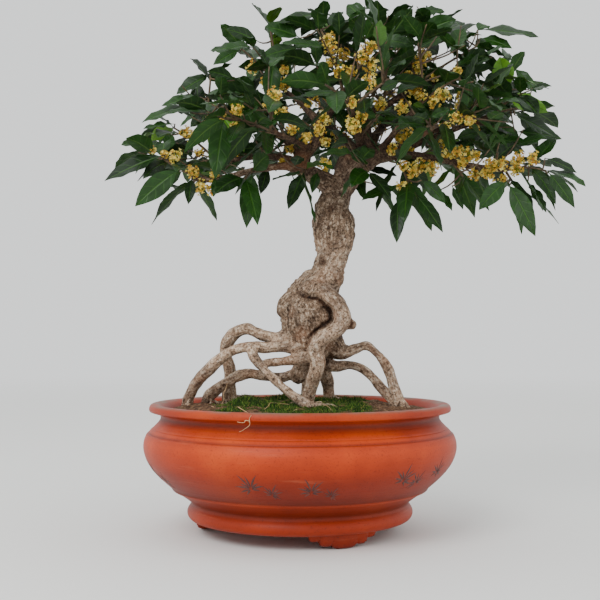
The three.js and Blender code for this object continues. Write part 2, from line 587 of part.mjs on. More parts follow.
// The leaves of one twig, in opposite pairs. A leaf that would meet something is turned round the
// twig until it is clear, and left out if it never is.
function growLeaves({ stem, fork, points, pairs }) {
  const path = pathOf(points);
  const owner = `${stem}/${fork}`;
  const leaves = [];
  for (let pair = 0; pair < pairs; pair += 1) {
    const place = pairs > 1 ? pair / (pairs - 1) : 1;
    const share = mix(FIRST_PAIR, LAST_PAIR, place);
    const along = path.getTangent(share);
    const level = new Vector3().crossVectors(along, UP).normalize();
    const over = new Vector3().crossVectors(level, along);
    const lean = degrees(mix(...LEAF_ANGLES, place) + LEAN_PLAY * (draw() - 0.5));
    const tilt = (pair % 2 ? 1 : -1) * PAIR_TILT + TILT_PLAY * (draw() - 0.5);
    for (const half of [0, 180]) {
      const length = between(LEAF_LENGTH);
      const droop = between(DROOP);
      const roll = ROLL * (2 * draw() - 1);
      for (const turn of TRY_TURNS) {
        const angle = degrees(tilt + half + turn);
        const aside = level.clone().multiplyScalar(Math.cos(angle));
        aside.addScaledVector(over, Math.sin(angle));
        const out = along.clone().multiplyScalar(Math.cos(lean));
        out.addScaledVector(aside, Math.sin(lean)).normalize();
        const flat = new Vector3().crossVectors(out, UP).normalize();
        const high = new Vector3().crossVectors(flat, out);
        const across = flat.multiplyScalar(Math.cos(roll)).addScaledVector(high, Math.sin(roll));
        const leaf = { root: path.getPoint(share), along: out, across, length, droop };
        if (!isClear(leaf, owner)) continue;
        holdLeaf(leaf, owner);
        leaves.push(makeLeaf(leaf));
        break;
      }
    }
  }
  return leaves;
}

const tree = new Group();
const wood = makeWood(0);
const woodSleeve = makeWood(CLEARANCE);
tree.add(mesh('pot', makePot(), COLOURS.clay, 0.75));
tree.add(mesh('soil', makeSoil(woodSleeve), COLOURS.soil, 1));
tree.add(mesh('trunk', wood, COLOURS.wood, 0.85));

for (const [name, points] of Object.entries(carriers)) holdAlong(points, name);
const bunches = BUNCHES.map(headsOf);
for (const { middle } of bunches.flat()) hold(middle, HEAD_RADIUS, 'flowers');

const leafy = Object.keys(STEMS).map((stem) => {
  const forks = twigs.filter((twig) => twig.stem === stem);
  const pieces = forks.flatMap((twig) => [limb(twig.points, TWIG_SIDES), ...growLeaves(twig)]);
  const body = largest(Manifold.union(pieces).subtract(woodSleeve));
  tree.add(mesh(`leaves_${stem}`, body, COLOURS.leaf, 0.45));
  return body;
});

const carried = Manifold.union([wood, ...leafy]);
bunches.forEach((heads, i) => {
  const body = largest(Manifold.union(heads.map((head) => makeHead(head, carried))));
  tree.add(mesh(`flowers_${String(i + 1).padStart(2, '0')}`, body, COLOURS.flower, 0.6));
});

const box = new Box3().setFromObject(tree);
tree.position.set(-(box.min.x + box.max.x) / 2, -(box.min.y + box.max.y) / 2, 0);
tree.updateMatrixWorld(true);

const group = new Group();
group.add(tree);
export default group;
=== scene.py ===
"""A sweet osmanthus bonsai in its round clay pot: bare roots that arch out of mossy soil, a leaning
trunk with a burl, and a wide crown of leathery leaves with bunches of small yellow flowers.

Lengths are in mm round the pot's own axis, with z = 0 under its feet, until a mesh is made."""

import bpy
import numpy as np
from mathutils import Matrix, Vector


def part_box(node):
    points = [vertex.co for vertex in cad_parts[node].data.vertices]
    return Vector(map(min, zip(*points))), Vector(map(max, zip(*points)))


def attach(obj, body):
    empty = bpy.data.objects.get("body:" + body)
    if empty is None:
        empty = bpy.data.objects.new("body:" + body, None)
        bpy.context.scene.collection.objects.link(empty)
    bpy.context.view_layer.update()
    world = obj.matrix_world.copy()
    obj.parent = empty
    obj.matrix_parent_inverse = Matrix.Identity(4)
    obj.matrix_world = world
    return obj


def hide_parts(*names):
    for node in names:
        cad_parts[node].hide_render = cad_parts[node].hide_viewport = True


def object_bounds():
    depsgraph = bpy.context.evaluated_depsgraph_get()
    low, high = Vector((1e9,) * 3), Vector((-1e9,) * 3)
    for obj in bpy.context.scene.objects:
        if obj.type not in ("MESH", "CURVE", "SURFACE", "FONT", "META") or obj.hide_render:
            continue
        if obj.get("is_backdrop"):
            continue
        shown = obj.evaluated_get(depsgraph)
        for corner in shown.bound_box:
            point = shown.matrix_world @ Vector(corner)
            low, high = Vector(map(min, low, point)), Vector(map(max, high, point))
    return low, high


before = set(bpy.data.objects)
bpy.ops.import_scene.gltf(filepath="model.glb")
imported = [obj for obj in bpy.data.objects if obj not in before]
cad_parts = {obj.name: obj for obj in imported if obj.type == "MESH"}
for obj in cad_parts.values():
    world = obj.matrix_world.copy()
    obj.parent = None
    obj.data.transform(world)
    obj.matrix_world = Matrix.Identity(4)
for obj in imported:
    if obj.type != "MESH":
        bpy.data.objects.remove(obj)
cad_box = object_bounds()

# Camera: as the photograph was taken, level with the upper roots, well back, and tipped up a little.
# A place can be found from where it shows in the picture of 600 by 600 and how deep it lies.
EYE = np.array([0, -1510, 289])
TIPPED_UP = np.radians(2.26)
PICTURE = 600
FOCUS = 987                     # the lens's length, in picture points

pot_low, pot_high = np.array(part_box("pot"))
AXIS = np.array([*(pot_low + pot_high)[:2] / 2, 0])


def seen_at(across, down, depth):
    """The place at a depth behind the axis that shows at a point of the picture: the line of sight
    through that point, followed until its y is the depth."""
    across, down, depth = (np.asarray(v, float) for v in (across, down, depth))
    away = depth - EYE[1]
    slope = np.tan(np.arctan((PICTURE / 2 - down) / FOCUS) + TIPPED_UP)
    straight = away * np.cos(TIPPED_UP) + away * slope * np.sin(TIPPED_UP)
    x = (across - PICTURE / 2) / FOCUS * straight
    return np.stack(np.broadcast_arrays(x, depth, EYE[2] + away * slope), -1)


def picture_of(places):
    """Where places show in the picture: their distance ahead of the lens, and their distance aside
    and up over it, times the lens's length."""
    aside, away, up = np.moveaxis(places - EYE, -1, 0)
    ahead = away * np.cos(TIPPED_UP) + up * np.sin(TIPPED_UP)
    over = up * np.cos(TIPPED_UP) - away * np.sin(TIPPED_UP)
    return PICTURE / 2 + FOCUS * aside / ahead, PICTURE / 2 - FOCUS * over / ahead


camera = bpy.data.objects.new("camera", bpy.data.cameras.new("camera"))
camera.data.lens = FOCUS / PICTURE * camera.data.sensor_width
camera.location = EYE / 1000 + AXIS
camera.rotation_euler = (np.pi / 2 + TIPPED_UP, 0, 0)
bpy.context.collection.objects.link(camera)
bpy.context.scene.camera = camera


# Studio: a pale floor without an edge in sight, a pale sky all round, a wide soft lamp high at the
# front left and a weaker one low at the right.
def paint(red, green, blue):
    """A colour from three numbers of 0 to 255, as they show on a screen, in linear light."""
    shown = np.array([red, green, blue]) / 255
    return (*np.where(shown <= 0.04045, shown / 12.92, ((shown + 0.055) / 1.055) ** 2.4), 1)


def node(tree, kind, inputs=(), **settings):
    """A shader node with its settings, and for each input that is named a plain value or what comes
    out of another node."""
    made = tree.nodes.new("ShaderNode" + kind)
    for name, value in settings.items():
        setattr(made, name, value)
    for socket, value in dict(inputs).items():
        if isinstance(value, bpy.types.NodeSocket):
            tree.links.new(value, made.inputs[socket])
        else:
            made.inputs[socket].default_value = value
    return made


def place_in(tree):
    """The place on the object that is being coloured."""
    return node(tree, "TexCoord").outputs["Object"]


def carried(tree, name, kind="Fac"):
    """The number, or the vector, that the points of the piece carry under a name."""
    return node(tree, "Attribute", attribute_name=name).outputs[kind]


def upward(tree, vector):
    """The z of a place or a direction."""
    return node(tree, "SeparateXYZ", {0: vector}).outputs["Z"]


def new_finish(name, **sockets):
    """A material, its node tree and its shader, with the shader's plain values set."""
    material = bpy.data.materials.new(name)
    material.use_nodes = True
    tree = material.node_tree
    shader = tree.nodes["Principled BSDF"]
    for socket, value in sockets.items():
        shader.inputs[socket.replace("_", " ")].default_value = value
    return material, tree, shader


def span(tree, source, low, high, first=0, last=1, **settings):
    """A number that goes from first to last while the source goes from low to high."""
    ends = {0: source, 1: low, 2: high, 3: first, 4: last}
    return node(tree, "MapRange", ends, **settings).outputs[0]


def maths(tree, operation, one, other=0):
    """A sum with one or two numbers, each a plain one or what comes out of another node."""
    return node(tree, "Math", {0: one, 1: other}, operation=operation).outputs[0]


def ramp(tree, source, *stops):
    """The colour at a number between 0 and 1, blended between stops of a place and its paint."""
    made = node(tree, "ValToRGB", {"Fac": source})
    stops = [(place, paint(*colour)) for place, *colour in stops]
    elements = made.color_ramp.elements
    elements[0].position, elements[0].color = stops[0]
    elements[1].position, elements[1].color = stops[-1]
    for place, colour in stops[1:-1]:
        elements.new(place).color = colour
    return made.outputs["Color"]


def blend(tree, share, one, other, kind="MIX"):
    """Two colours mixed by a share."""
    inputs = {0: share, 6: one, 7: other}
    return node(tree, "Mix", inputs, data_type="RGBA", blend_type=kind).outputs[2]


def tinted(tree, colour, share, source, *stops):
    """A colour multiplied, by a share, with the tint that a ramp gives to a number."""
    return blend(tree, share, colour, ramp(tree, source, *stops), "MULTIPLY")


def noise(tree, places, scale, detail=4, roughness=0.5):
    """A cloudy number between 0 and 1 at places, with so many clouds to the metre."""
    inputs = {"Vector": places, "Scale": scale, "Detail": detail, "Roughness": roughness}
    return node(tree, "TexNoise", inputs).outputs["Fac"]


def bump(tree, height, distance, strength=1, under=None):
    """A relief of a height between 0 and 1 times a distance in metres, laid over another relief."""
    below = {} if under is None else {"Normal": under}
    inputs = {"Height": height, "Distance": distance, "Strength": strength, **below}
    return node(tree, "Bump", inputs).outputs["Normal"]


def unit(vectors):
    """Vectors brought to a length of one. One that has no length stays as it is."""
    return vectors / np.maximum(np.linalg.norm(vectors, axis=-1, keepdims=True), 1e-12)


FLOOR_CLEAR, FLOOR_GONE = 1.6, 7        # metres: from here on the floor melts into the sky
floor_mesh = bpy.data.meshes.new("floor")
floor_mesh.from_pydata([(-30, -30, 0), (30, -30, 0), (30, 30, 0), (-30, 30, 0)], [], [(0, 1, 2, 3)])
floor = bpy.data.objects.new("floor", floor_mesh)
bpy.context.collection.objects.link(floor)
floor_paint, tree, shader = new_finish("pale_floor", Base_Color=paint(236, 236, 233), Roughness=0.9)
far = node(tree, "VectorMath", {0: place_in(tree)}, operation="LENGTH").outputs[1]
away = span(tree, far, FLOOR_CLEAR, FLOOR_GONE, interpolation_type="SMOOTHSTEP")
clear = node(tree, "BsdfTransparent").outputs[0]
faded = node(tree, "MixShader", {0: away, 1: shader.outputs[0], 2: clear}).outputs[0]
tree.links.new(faded, tree.nodes["Material Output"].inputs["Surface"])
floor_mesh.materials.append(floor_paint)
floor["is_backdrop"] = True

sky = bpy.data.worlds.new("sky")
sky.use_nodes = True
sky.node_tree.nodes["Background"].inputs["Color"].default_value = paint(238, 240, 240)
sky.node_tree.nodes["Background"].inputs["Strength"].default_value = 1.4
bpy.context.scene.world = sky

for name, place, aim, size, power in (
    ("front_lamp", (-1.3, -2.3, 2.3), (0, 0, 0.45), 1.6, 70),
    ("side_lamp", (2.4, -1.2, 1.2), (0, 0, 0.4), 1.8, 7),
):
    lamp = bpy.data.objects.new(name, bpy.data.lights.new(name, "AREA"))
    lamp.data.size = size
    lamp.data.energy = power
    lamp.location = np.array(place) + AXIS
    towards = unit(np.array(aim) - np.array(place))
    right = unit(np.cross(towards, [0, 0, 1]))
    axes = np.column_stack([right, np.cross(right, towards), -towards])
    lamp.rotation_euler = Matrix(axes.tolist()).to_euler()
    bpy.context.collection.objects.link(lamp)


# Pot: thrown from red clay, turned smooth, rubbed and fired without a glaze. The lip is rolled, the
# belly is full, the foot ring bulges below a tight waist, and lines are cut into the shoulder.
POT_OUTSIDE = [                 # radius and height, from the drain hole under the floor to the lip
    [14, 27], [80, 27], [146, 27], [151, 23], [155, 20.5], [162, 20.5], [167, 23], [170, 28],
    [170, 34], [167, 39], [164, 43], [164.5, 47], [170, 52], [182, 60.5], [188, 64.5], [191.5, 65],
    [193.5, 67], [193.5, 69], [202, 76], [215, 88], [226, 101], [232.5, 113], [236, 126],
    [235.5, 137], [232, 146.5], [230, 149], [228.6, 149.3], [228, 150.5], [225, 154], [223, 156],
    [221.6, 156.3], [221, 157.5], [215.5, 163], [211.5, 168], [210, 172], [211, 176], [214.5, 179.5],
    [220, 180.2], [225, 180.6], [227.3, 182], [227.8, 185], [226.8, 189], [224.5, 191.6], [221, 192.4],
]
POT_INSIDE = [                  # radius and height, from the lip down to the drain hole in the floor
    [216, 192], [211, 190.5], [205.5, 186], [202, 179], [200.5, 172], [205, 162], [216, 146],
    [222, 134], [220, 122], [205, 94], [178, 66], [150, 44], [120, 42], [14, 42],
]
POT_SIDES = 192
DUST = 188                      # above this height the lip is dusty
PAINTED_SHADE_BANDS = [                 # share of 200 mm of height, and the painted shade and highlight there
    (0, 150, 120, 110), (0.1, 200, 185, 180), (0.19, 205, 185, 180), (0.235, 105, 80, 75),
    (0.31, 175, 160, 155), (0.325, 235, 230, 225), (0.34, 105, 80, 74), (0.4, 150, 122, 112),
    (0.5, 180, 154, 145), (0.6, 226, 214, 208), (0.7, 255, 255, 255), (0.74, 230, 220, 215),
    (0.75, 150, 125, 118), (0.765, 245, 240, 236), (0.81, 220, 210, 205), (0.86, 105, 80, 75),
    (0.9, 205, 190, 185), (1, 235, 230, 225),
]


def quads_to_triangles(quads):
    """Each four-sided face cut from its first corner to its third."""
    quads = np.asarray(quads).reshape(-1, 4)
    return np.concatenate([quads[:, [0, 1, 2]], quads[:, [0, 2, 3]]])


def grid_faces(rows, columns, closed_rows=False, closed_columns=False):
    """Triangles between neighbours on a grid of places numbered row by row."""
    row, column = np.meshgrid(
        np.arange(rows - (not closed_rows)), np.arange(columns - (not closed_columns)), indexing="ij")
    below, beside = (row + 1) % rows, (column + 1) % columns
    return quads_to_triangles(np.stack([
        row * columns + column, row * columns + beside,
        below * columns + beside, below * columns + column], -1))


def rounded(points, times):
    """A line of points with its corners cut: each step keeps the places at a quarter and three
    quarters of every stretch, and both ends."""
    points = np.asarray(points, float)
    for _ in range(times):
        near = points[:-1] * 0.75 + points[1:] * 0.25
        far = points[:-1] * 0.25 + points[1:] * 0.75
        cut = np.stack([near, far], 1).reshape(-1, points.shape[1])
        points = np.concatenate([points[:1], cut, points[-1:]])
    return points


def join(*parts):
    """Several pairs of places and faces as one, the faces counted on."""
    counts = np.cumsum([0, *(len(places) for places, _ in parts)])
    return (np.concatenate([places for places, _ in parts]),
            np.concatenate([faces + start for (_, faces), start in zip(parts, counts)]))


def new_piece(name, places, faces, slot, finishes, stands_for=(), which=None, uv=None, values=None,
              edges=None, smooth=True):
    """A piece of the object from places in mm and its faces. which gives each face's finish, uv the
    flat place of each corner's point, values named numbers or vectors for each point, and edges
    marks the points along which the surface is creased."""
    mesh = bpy.data.meshes.new(name)
    mesh.from_pydata((places / 1000 + AXIS).tolist(), [], faces.tolist())
    mesh.polygons.foreach_set("use_smooth", np.full(len(faces), smooth))
    for material in finishes:
        mesh.materials.append(material)
    if which is not None:
        mesh.polygons.foreach_set("material_index", which)
    if uv is not None:
        mesh.uv_layers.new(name="UVMap").data.foreach_set("uv", uv[faces.ravel()].ravel())
    for key, numbers in (values or {}).items():
        numbers = np.asarray(numbers, np.float32)
        kind, field = ("FLOAT", "value") if numbers.ndim == 1 else ("FLOAT_VECTOR", "vector")
        mesh.attributes.new(key, kind, "POINT").data.foreach_set(field, numbers.ravel())
    if edges is not None:
        ends = np.zeros(len(mesh.edges) * 2, int)
        mesh.edges.foreach_get("vertices", ends)
        creased = edges[ends.reshape(-1, 2)].all(1)
        mesh.attributes.new("sharp_edge", "BOOLEAN", "EDGE").data.foreach_set("value", creased)
    mesh.update()
    piece = bpy.data.objects.new(name, mesh)
    bpy.context.collection.objects.link(piece)
    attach(piece, "root")
    if stands_for:
        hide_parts(*stands_for)
    return piece


def turned(profile, sides):
    """A profile of radius and height swept round the axis, open where the profile is open."""
    angle = np.linspace(0, 2 * np.pi, sides, endpoint=False)
    radius, height = profile[:, :1], profile[:, 1:]
    level = np.broadcast_to(height, (len(profile), sides))
    return np.stack([radius * np.sin(angle), -radius * np.cos(angle), level], -1).reshape(-1, 3)


clay, tree, shader = new_finish(
    "rubbed_red_clay", Roughness=0.5, Specular_IOR_Level=0.22, Coat_Weight=0.04, Coat_Roughness=0.35)
here = place_in(tree)
height = upward(tree, here)
clouds = noise(tree, here, 9, 5, 0.6)
colour = ramp(tree, clouds, (0.3, 156, 47, 8), (0.55, 181, 59, 12), (0.75, 199, 76, 22))
grains = noise(tree, here, 420, 3)
colour = tinted(tree, colour, 0.35, grains, (0.32, 120, 44, 28), (0.42, 255, 255, 255))
# Painted shade and highlight: the clay is tinted by height, darker in the grooves, at the waist, under
# the lip and down the lower belly, lightest on the ridges and the upper belly.
colour = tinted(tree, colour, 0.8, span(tree, height, 0, 0.2), *PAINTED_SHADE_BANDS)
streaks = node(tree, "Mapping", {0: here, "Scale": (3, 3, 46)}).outputs[0]
lime = span(tree, noise(tree, streaks, 3.2, 6, 0.7), 0.6, 0.78, 0, 0.35)
colour = blend(tree, lime, colour, paint(198, 112, 78))
facing_up = upward(tree, node(tree, "NewGeometry").outputs["Normal"])
on_top = span(tree, height, DUST / 1000, DUST / 1000 + 0.003)
patchy = span(tree, noise(tree, here, 26, 5), 0.3, 0.62)
dusty = maths(tree, "MULTIPLY", maths(tree, "MULTIPLY", on_top, facing_up), patchy)
colour = blend(tree, dusty, colour, paint(124, 92, 76))
tree.links.new(colour, shader.inputs["Base Color"])
rings = noise(tree, node(tree, "Mapping", {0: here, "Scale": (2, 2, 420)}).outputs[0], 1, 3)
relief = bump(tree, rings, 0.0006, 0.5)
tree.links.new(bump(tree, grains, 0.0003, 0.6, relief), shader.inputs["Normal"])

profile = np.concatenate([rounded(POT_OUTSIDE, 2), rounded(POT_INSIDE, 2)])
pot_body = turned(profile, POT_SIDES), grid_faces(len(profile), POT_SIDES, True, True)

# Feet: three slabs bent round the ring, their undersides cut in lobes like a cloud and their faces
# rounded over, stuck on before the firing.
FOOT_AZIMUTHS = [24, 144, 264]
FOOT_MIDDLE, FOOT_HALF = 143.5, 14
FOOT_TOP, FOOT_BARE = 33, 30    # heights: the slab's upper side, and the underside between lobes
LOBE_DEEP = 7
FOOT_LOBES = [                  # distance from the foot's middle, half width, lowest height
    [-45, 9, 11], [-28, 10, 4], [0, 20, 0], [28, 10, 4], [45, 9, 11],
]
FOOT_LONG = 108
FOOT_ROUND = 11                 # places over a foot: outer edge, underside, inner edge
along = np.linspace(-FOOT_LONG / 2, FOOT_LONG / 2, FOOT_LONG + 1)
lobes = np.array(FOOT_LOBES)[:, :, None]
inside = np.clip(1 - ((along - lobes[:, 0]) / lobes[:, 1]) ** 2, 0, 1)
curve = np.clip(1 - ((along - lobes[:, 0]) / lobes[:, 1]) ** 4, 0, 1)
underside = np.where(inside > 0, lobes[:, 2] + LOBE_DEEP * (1 - np.sqrt(curve)), FOOT_BARE).min(0)
underside = np.minimum(underside, 8 + np.abs(along) ** 2 * 0.0055)
swell = inside.max(0) ** 0.5
round_over = np.linspace(0, np.pi, FOOT_ROUND)
reach = np.sign(np.cos(round_over)) * np.abs(np.cos(round_over)) ** 0.5
drop = np.abs(np.sin(round_over)) ** 0.5
radius = FOOT_MIDDLE + (FOOT_HALF - 2 + 2 * swell[:, None]) * reach
z = FOOT_TOP - (FOOT_TOP - underside[:, None]) * drop
azimuth = np.broadcast_to(along[:, None] / (FOOT_MIDDLE + FOOT_HALF), radius.shape)
fan = np.column_stack([np.zeros(9, int), np.arange(1, 10), np.arange(2, 11)])
foot_faces = np.concatenate([grid_faces(len(along), FOOT_ROUND, closed_columns=True)[:, ::-1],
                             fan[:, [0, 2, 1]], fan + (len(along) - 1) * FOOT_ROUND])
feet = []
for middle in np.radians(FOOT_AZIMUTHS):
    places = np.stack([radius * np.sin(middle + azimuth), -radius * np.cos(middle + azimuth), z], -1)
    feet.append((places.reshape(-1, 3), foot_faces))
new_piece("round_pot", *join(pot_body, *feet), "clay", [clay], ["pot"])

# Brushwork: a few sprigs of pointed leaves in thin dark ink round the lower belly, each leaf one
# stroke that swells and runs out. The ink lies a hair above the clay.
SPRIGS = [                      # degrees round from the front, height, size, lean
    [-17, 92, 1.1, -20], [-10, 84, 0.8, 25], [4, 88, 1, -8], [11, 82, 0.7, 30], [38, 98, 1.1, 15],
    [46, 92, 0.9, -25], [57, 102, 1, 10], [104, 90, 1, -15], [113, 84, 0.8, 22], [162, 92, 1.1, 8],
    [171, 86, 0.8, -26], [226, 94, 1, 16], [236, 86, 0.9, -18], [288, 90, 1.1, -10], [297, 84, 0.8, 24],
]
STROKE_FAN = [-105, -78, -52, -30, -8, 16, 38, 60, 84, 108]
STROKE_LONG = [12, 17, 21, 15, 24, 18, 22, 14, 18, 11]
STROKE_HALF, STROKE_BEND = 1.5, 0.35
EDGE_PROUD, SPINE_PROUD, UNDER_PROUD = -0.1, 0.35, -0.5
BELLY = 222                     # the radius that a distance round the pot is measured on
side_profile = rounded(POT_OUTSIDE, 2)
side_profile = side_profile[(side_profile[:, 1] > 70) & (side_profile[:, 1] < 145)]


def on_pot(across, height, proud):
    """A place on the belly: across in mm round the pot from the front, at a height, and so far proud
    of the clay. The radius there is read off the profile."""
    radius = np.interp(height, side_profile[:, 1], side_profile[:, 0]) + proud
    azimuth = across / BELLY
    return np.stack([radius * np.sin(azimuth), -radius * np.cos(azimuth), height], -1)


strokes = []
share = np.linspace(0, 1, 9)
for azimuth, height, size, lean in SPRIGS:
    for turn, long in zip(STROKE_FAN, STROKE_LONG):
        angle = np.radians(turn + lean) + STROKE_BEND * share * np.sign(turn + lean)
        ahead = np.stack([np.sin(angle), np.cos(angle)], -1)
        line = np.cumsum(ahead, 0) * long * size / len(share) + [azimuth * np.pi / 180 * BELLY, height]
        half = STROKE_HALF * size * np.sin(np.pi * share ** 0.8)[:, None]
        wide = np.stack([ahead[:, 1], -ahead[:, 0]], -1) * half
        rows = [(line - wide, EDGE_PROUD), (line, SPINE_PROUD), (line + wide, EDGE_PROUD),
                (line, UNDER_PROUD)]
        stroke = [on_pot(flat[:, 0], flat[:, 1], proud) for flat, proud in rows]
        strokes.append((np.stack(stroke, 1).reshape(-1, 3), grid_faces(9, 4, closed_columns=True)))
ink, tree, shader = new_finish("thin_dark_ink", Roughness=0.55)
worn = noise(tree, place_in(tree), 160, 4)
colour = ramp(tree, worn, (0.35, 58, 30, 30), (0.6, 84, 44, 36), (0.72, 140, 62, 40))
tree.links.new(colour, shader.inputs["Base Color"])
new_piece("brushwork", *join(*strokes), "clay", [ink])

# Soil: heaped a little in the middle and grown over with cushions of moss. It fills the pot up to
# the lip, and the roots go down into it.
SOIL_TOP = [[199.5, 181], [176, 185], [150, 188], [80, 191.5], [0.5, 192.5]]
SOIL_SIDE = [[150, 42], [205, 94], [222, 134], [200, 172]]     # as the pot's inside
SOIL_LOW, SOIL_EDGE = 42.3, SOIL_TOP[0][0]
SOIL_SIDES = 260
SOIL_CUSHION = 4
CUSHIONS = [                    # middle and reach of the higher cushions of moss, and their height
    [-82, -58, 40, 9], [-40, -96, 34, 5], [38, -104, 36, 5], [88, -70, 34, 5], [96, 62, 36, 5],
    [-18, 104, 48, 7], [-92, 92, 36, 6], [52, 128, 36, 5],
]


def part_way(value, start, end):
    """How much of the way from start to end a number has come: 0 before it, 1 after it."""
    return np.clip((value - start) / (end - start), 0, 1)


def mottle(places, size, which=0):
    """A smooth cloudy number between -1 and 1: each corner of a lattice gets a number worked out from
    its whole-number place, and a place takes the blend of the eight corners round it."""
    cell = np.floor(places / size).astype(np.int64)
    part = places / size - cell
    ease = part * part * (3 - 2 * part)
    total = np.zeros(len(places))
    for corner in np.ndindex(2, 2, 2):
        x, y, z = (cell + corner).T
        mixed = (x * 73856093) ^ (y * 19349663) ^ (z * 83492791) ^ (which * 50331653)
        mixed = (mixed * 1274126177 + 12345) & 0xFFFFFFF
        mixed = (mixed ^ (mixed >> 13)) * 1103515245 & 0xFFFFFFF
        total += (mixed / 0x7FFFFFF - 1) * np.where(np.array(corner) == 1, ease, 1 - ease).prod(1)
    return total


def soil_rise(places):
    """How much higher the soil stands at a place: low waves, the cushions as bells, and crumbs."""
    x, y = places[:, 0], places[:, 1]
    rise = SOIL_CUSHION * np.sin(x / 33 + 1) * np.cos(y / 41 - 0.6)
    for middle_x, middle_y, reach, tall in CUSHIONS:
        rise += tall * np.exp(-((x - middle_x) ** 2 + (y - middle_y) ** 2) / (0.35 * reach ** 2))
    edge = part_way(np.hypot(x, y), SOIL_EDGE, SOIL_EDGE - 30)
    flat = places * [1, 1, 0]
    return rise * edge ** 0.7 + edge * (1.6 * mottle(flat, 9, 1) + 1.1 * mottle(flat, 4, 2))


def moss_share(places):
    """How thick moss stands at a place: clouds of two sizes and a bell round each cushion, less the
    further the place is to the left or the right, where the earth is bare."""
    x, y = places[:, 0], places[:, 1]
    flat = places * [1, 1, 0]
    thick = 0.8 * mottle(flat, 30, 3) + 0.6 * mottle(flat, 9, 4) + 0.55
    for middle_x, middle_y, reach, _ in CUSHIONS:
        thick += 1.1 * np.exp(-((x - middle_x) ** 2 + (y - middle_y) ** 2) / (0.5 * reach ** 2))
    return thick - 2.6 * part_way(np.abs(x + 18), 100, 150)


def closed_faces(rows, sides):
    """Triangles of rings set on end, one row each, and a fan that closes either end. The poles of
    the fans are numbered last."""
    spoke = np.arange(sides)
    beside = (spoke + 1) % sides
    last, pole = (rows - 1) * sides, rows * sides
    return np.concatenate([
        grid_faces(rows, sides, closed_columns=True),
        np.column_stack([np.full(sides, pole), beside, spoke]),
        np.column_stack([np.full(sides, pole + 1), last + spoke, last + beside])])


def soil_height(places):
    """The height of the soil's top at places: the heap's profile and the rise there."""
    reach = np.hypot(places[:, 0], places[:, 1])
    return np.interp(reach, *soil_top[::-1].T) + soil_rise(places)


reach = np.linspace(SOIL_EDGE, SOIL_TOP[-1][0], 110)
soil_top = np.stack([reach, np.interp(reach, *rounded(SOIL_TOP, 1)[::-1].T)], -1)
side = [[r - 0.3, z + 0.3] for r, z in SOIL_SIDE]
soil_profile = np.concatenate([[[0.5, SOIL_LOW]], side, soil_top])
rows = len(soil_profile)
places = turned(soil_profile, SOIL_SIDES)
on_top = np.repeat(np.arange(rows) > len(side), SOIL_SIDES)
places[on_top, 2] += soil_rise(places[on_top])
places = np.concatenate([places, [[0, 0, SOIL_LOW], [0, 0, places[-1, 2]]]])

earth, tree, shader = new_finish("mossy_earth", Roughness=0.95, Specular_IOR_Level=0.15)
here = place_in(tree)
crumbs, tufts = noise(tree, here, 210, 5), noise(tree, here, 130, 5)
brown = ramp(tree, crumbs, (0.3, 46, 32, 24), (0.5, 92, 66, 48), (0.72, 140, 110, 82))
green = ramp(tree, tufts, (0.3, 14, 26, 6), (0.5, 36, 62, 14), (0.72, 74, 104, 30))
tree.links.new(blend(tree, carried(tree, "grown"), brown, green), shader.inputs["Base Color"])
tree.links.new(bump(tree, noise(tree, here, 520, 5), 0.002), shader.inputs["Normal"])
new_piece("mossy_soil", places, closed_faces(rows, SOIL_SIDES), "soil", [earth], ["soil"],
          values={"grown": np.clip(moss_share(places) * 1.6, 0, 1)})

# Moss: short pointed shoots, thick on the cushions and thin between them, each one a narrow
# three-sided spike that leans its own way.
def repeated(faces, count, places_each):
    """The faces of one small shape counted on for many, each with so many places."""
    return (np.arange(count)[:, None, None] * places_each + faces).reshape(-1, 3)


MOSS_SHOOTS = 26000
MOSS_REACH = 195
MOSS_TALL = 2.6, 6.4
MOSS_HALF, MOSS_LEAN, MOSS_ROOTED = 0.75, 0.45, 1
MOSS_BARE = 0.1                 # none grows where its share is less
lots = np.random.default_rng(7)
reach = MOSS_REACH * np.sqrt(lots.random(MOSS_SHOOTS))
azimuth = lots.random(MOSS_SHOOTS) * 2 * np.pi
root = np.stack([reach * np.sin(azimuth), -reach * np.cos(azimuth), np.zeros(MOSS_SHOOTS)], -1)
thick = moss_share(root)
kept = thick > MOSS_BARE
root, thick = root[kept], thick[kept]
root[:, 2] = soil_height(root) - MOSS_ROOTED
count = len(root)
tall = lots.uniform(*MOSS_TALL, count) * np.clip(thick, 0.5, 1.2)
lean = lots.normal(0, MOSS_LEAN, (count, 2)) * tall[:, None]
turn = lots.random(count)[:, None] * 2 * np.pi + np.array([0, 1, 2]) * 2 * np.pi / 3
foot = root[:, None] + MOSS_HALF * np.stack([np.cos(turn), np.sin(turn), np.zeros_like(turn)], -1)
tip = root + np.column_stack([lean, tall])
places = np.concatenate([foot, tip[:, None]], 1).reshape(-1, 3)
faces = repeated([[0, 1, 3], [1, 2, 3], [2, 0, 3], [2, 1, 0]], count, 4)
tone = np.repeat(lots.random(count), 4)
moss, tree, shader = new_finish("moss_green", Roughness=0.8, Specular_IOR_Level=0.25)
colour = ramp(tree, carried(tree, "tone"), (0, 12, 24, 4), (0.5, 36, 62, 12), (0.82, 76, 110, 30),
              (0.94, 116, 136, 52), (1, 150, 120, 70))
tree.links.new(colour, shader.inputs["Base Color"])
new_piece("moss_shoots", places, faces, "soil", [moss], values={"tone": tone}, smooth=False)


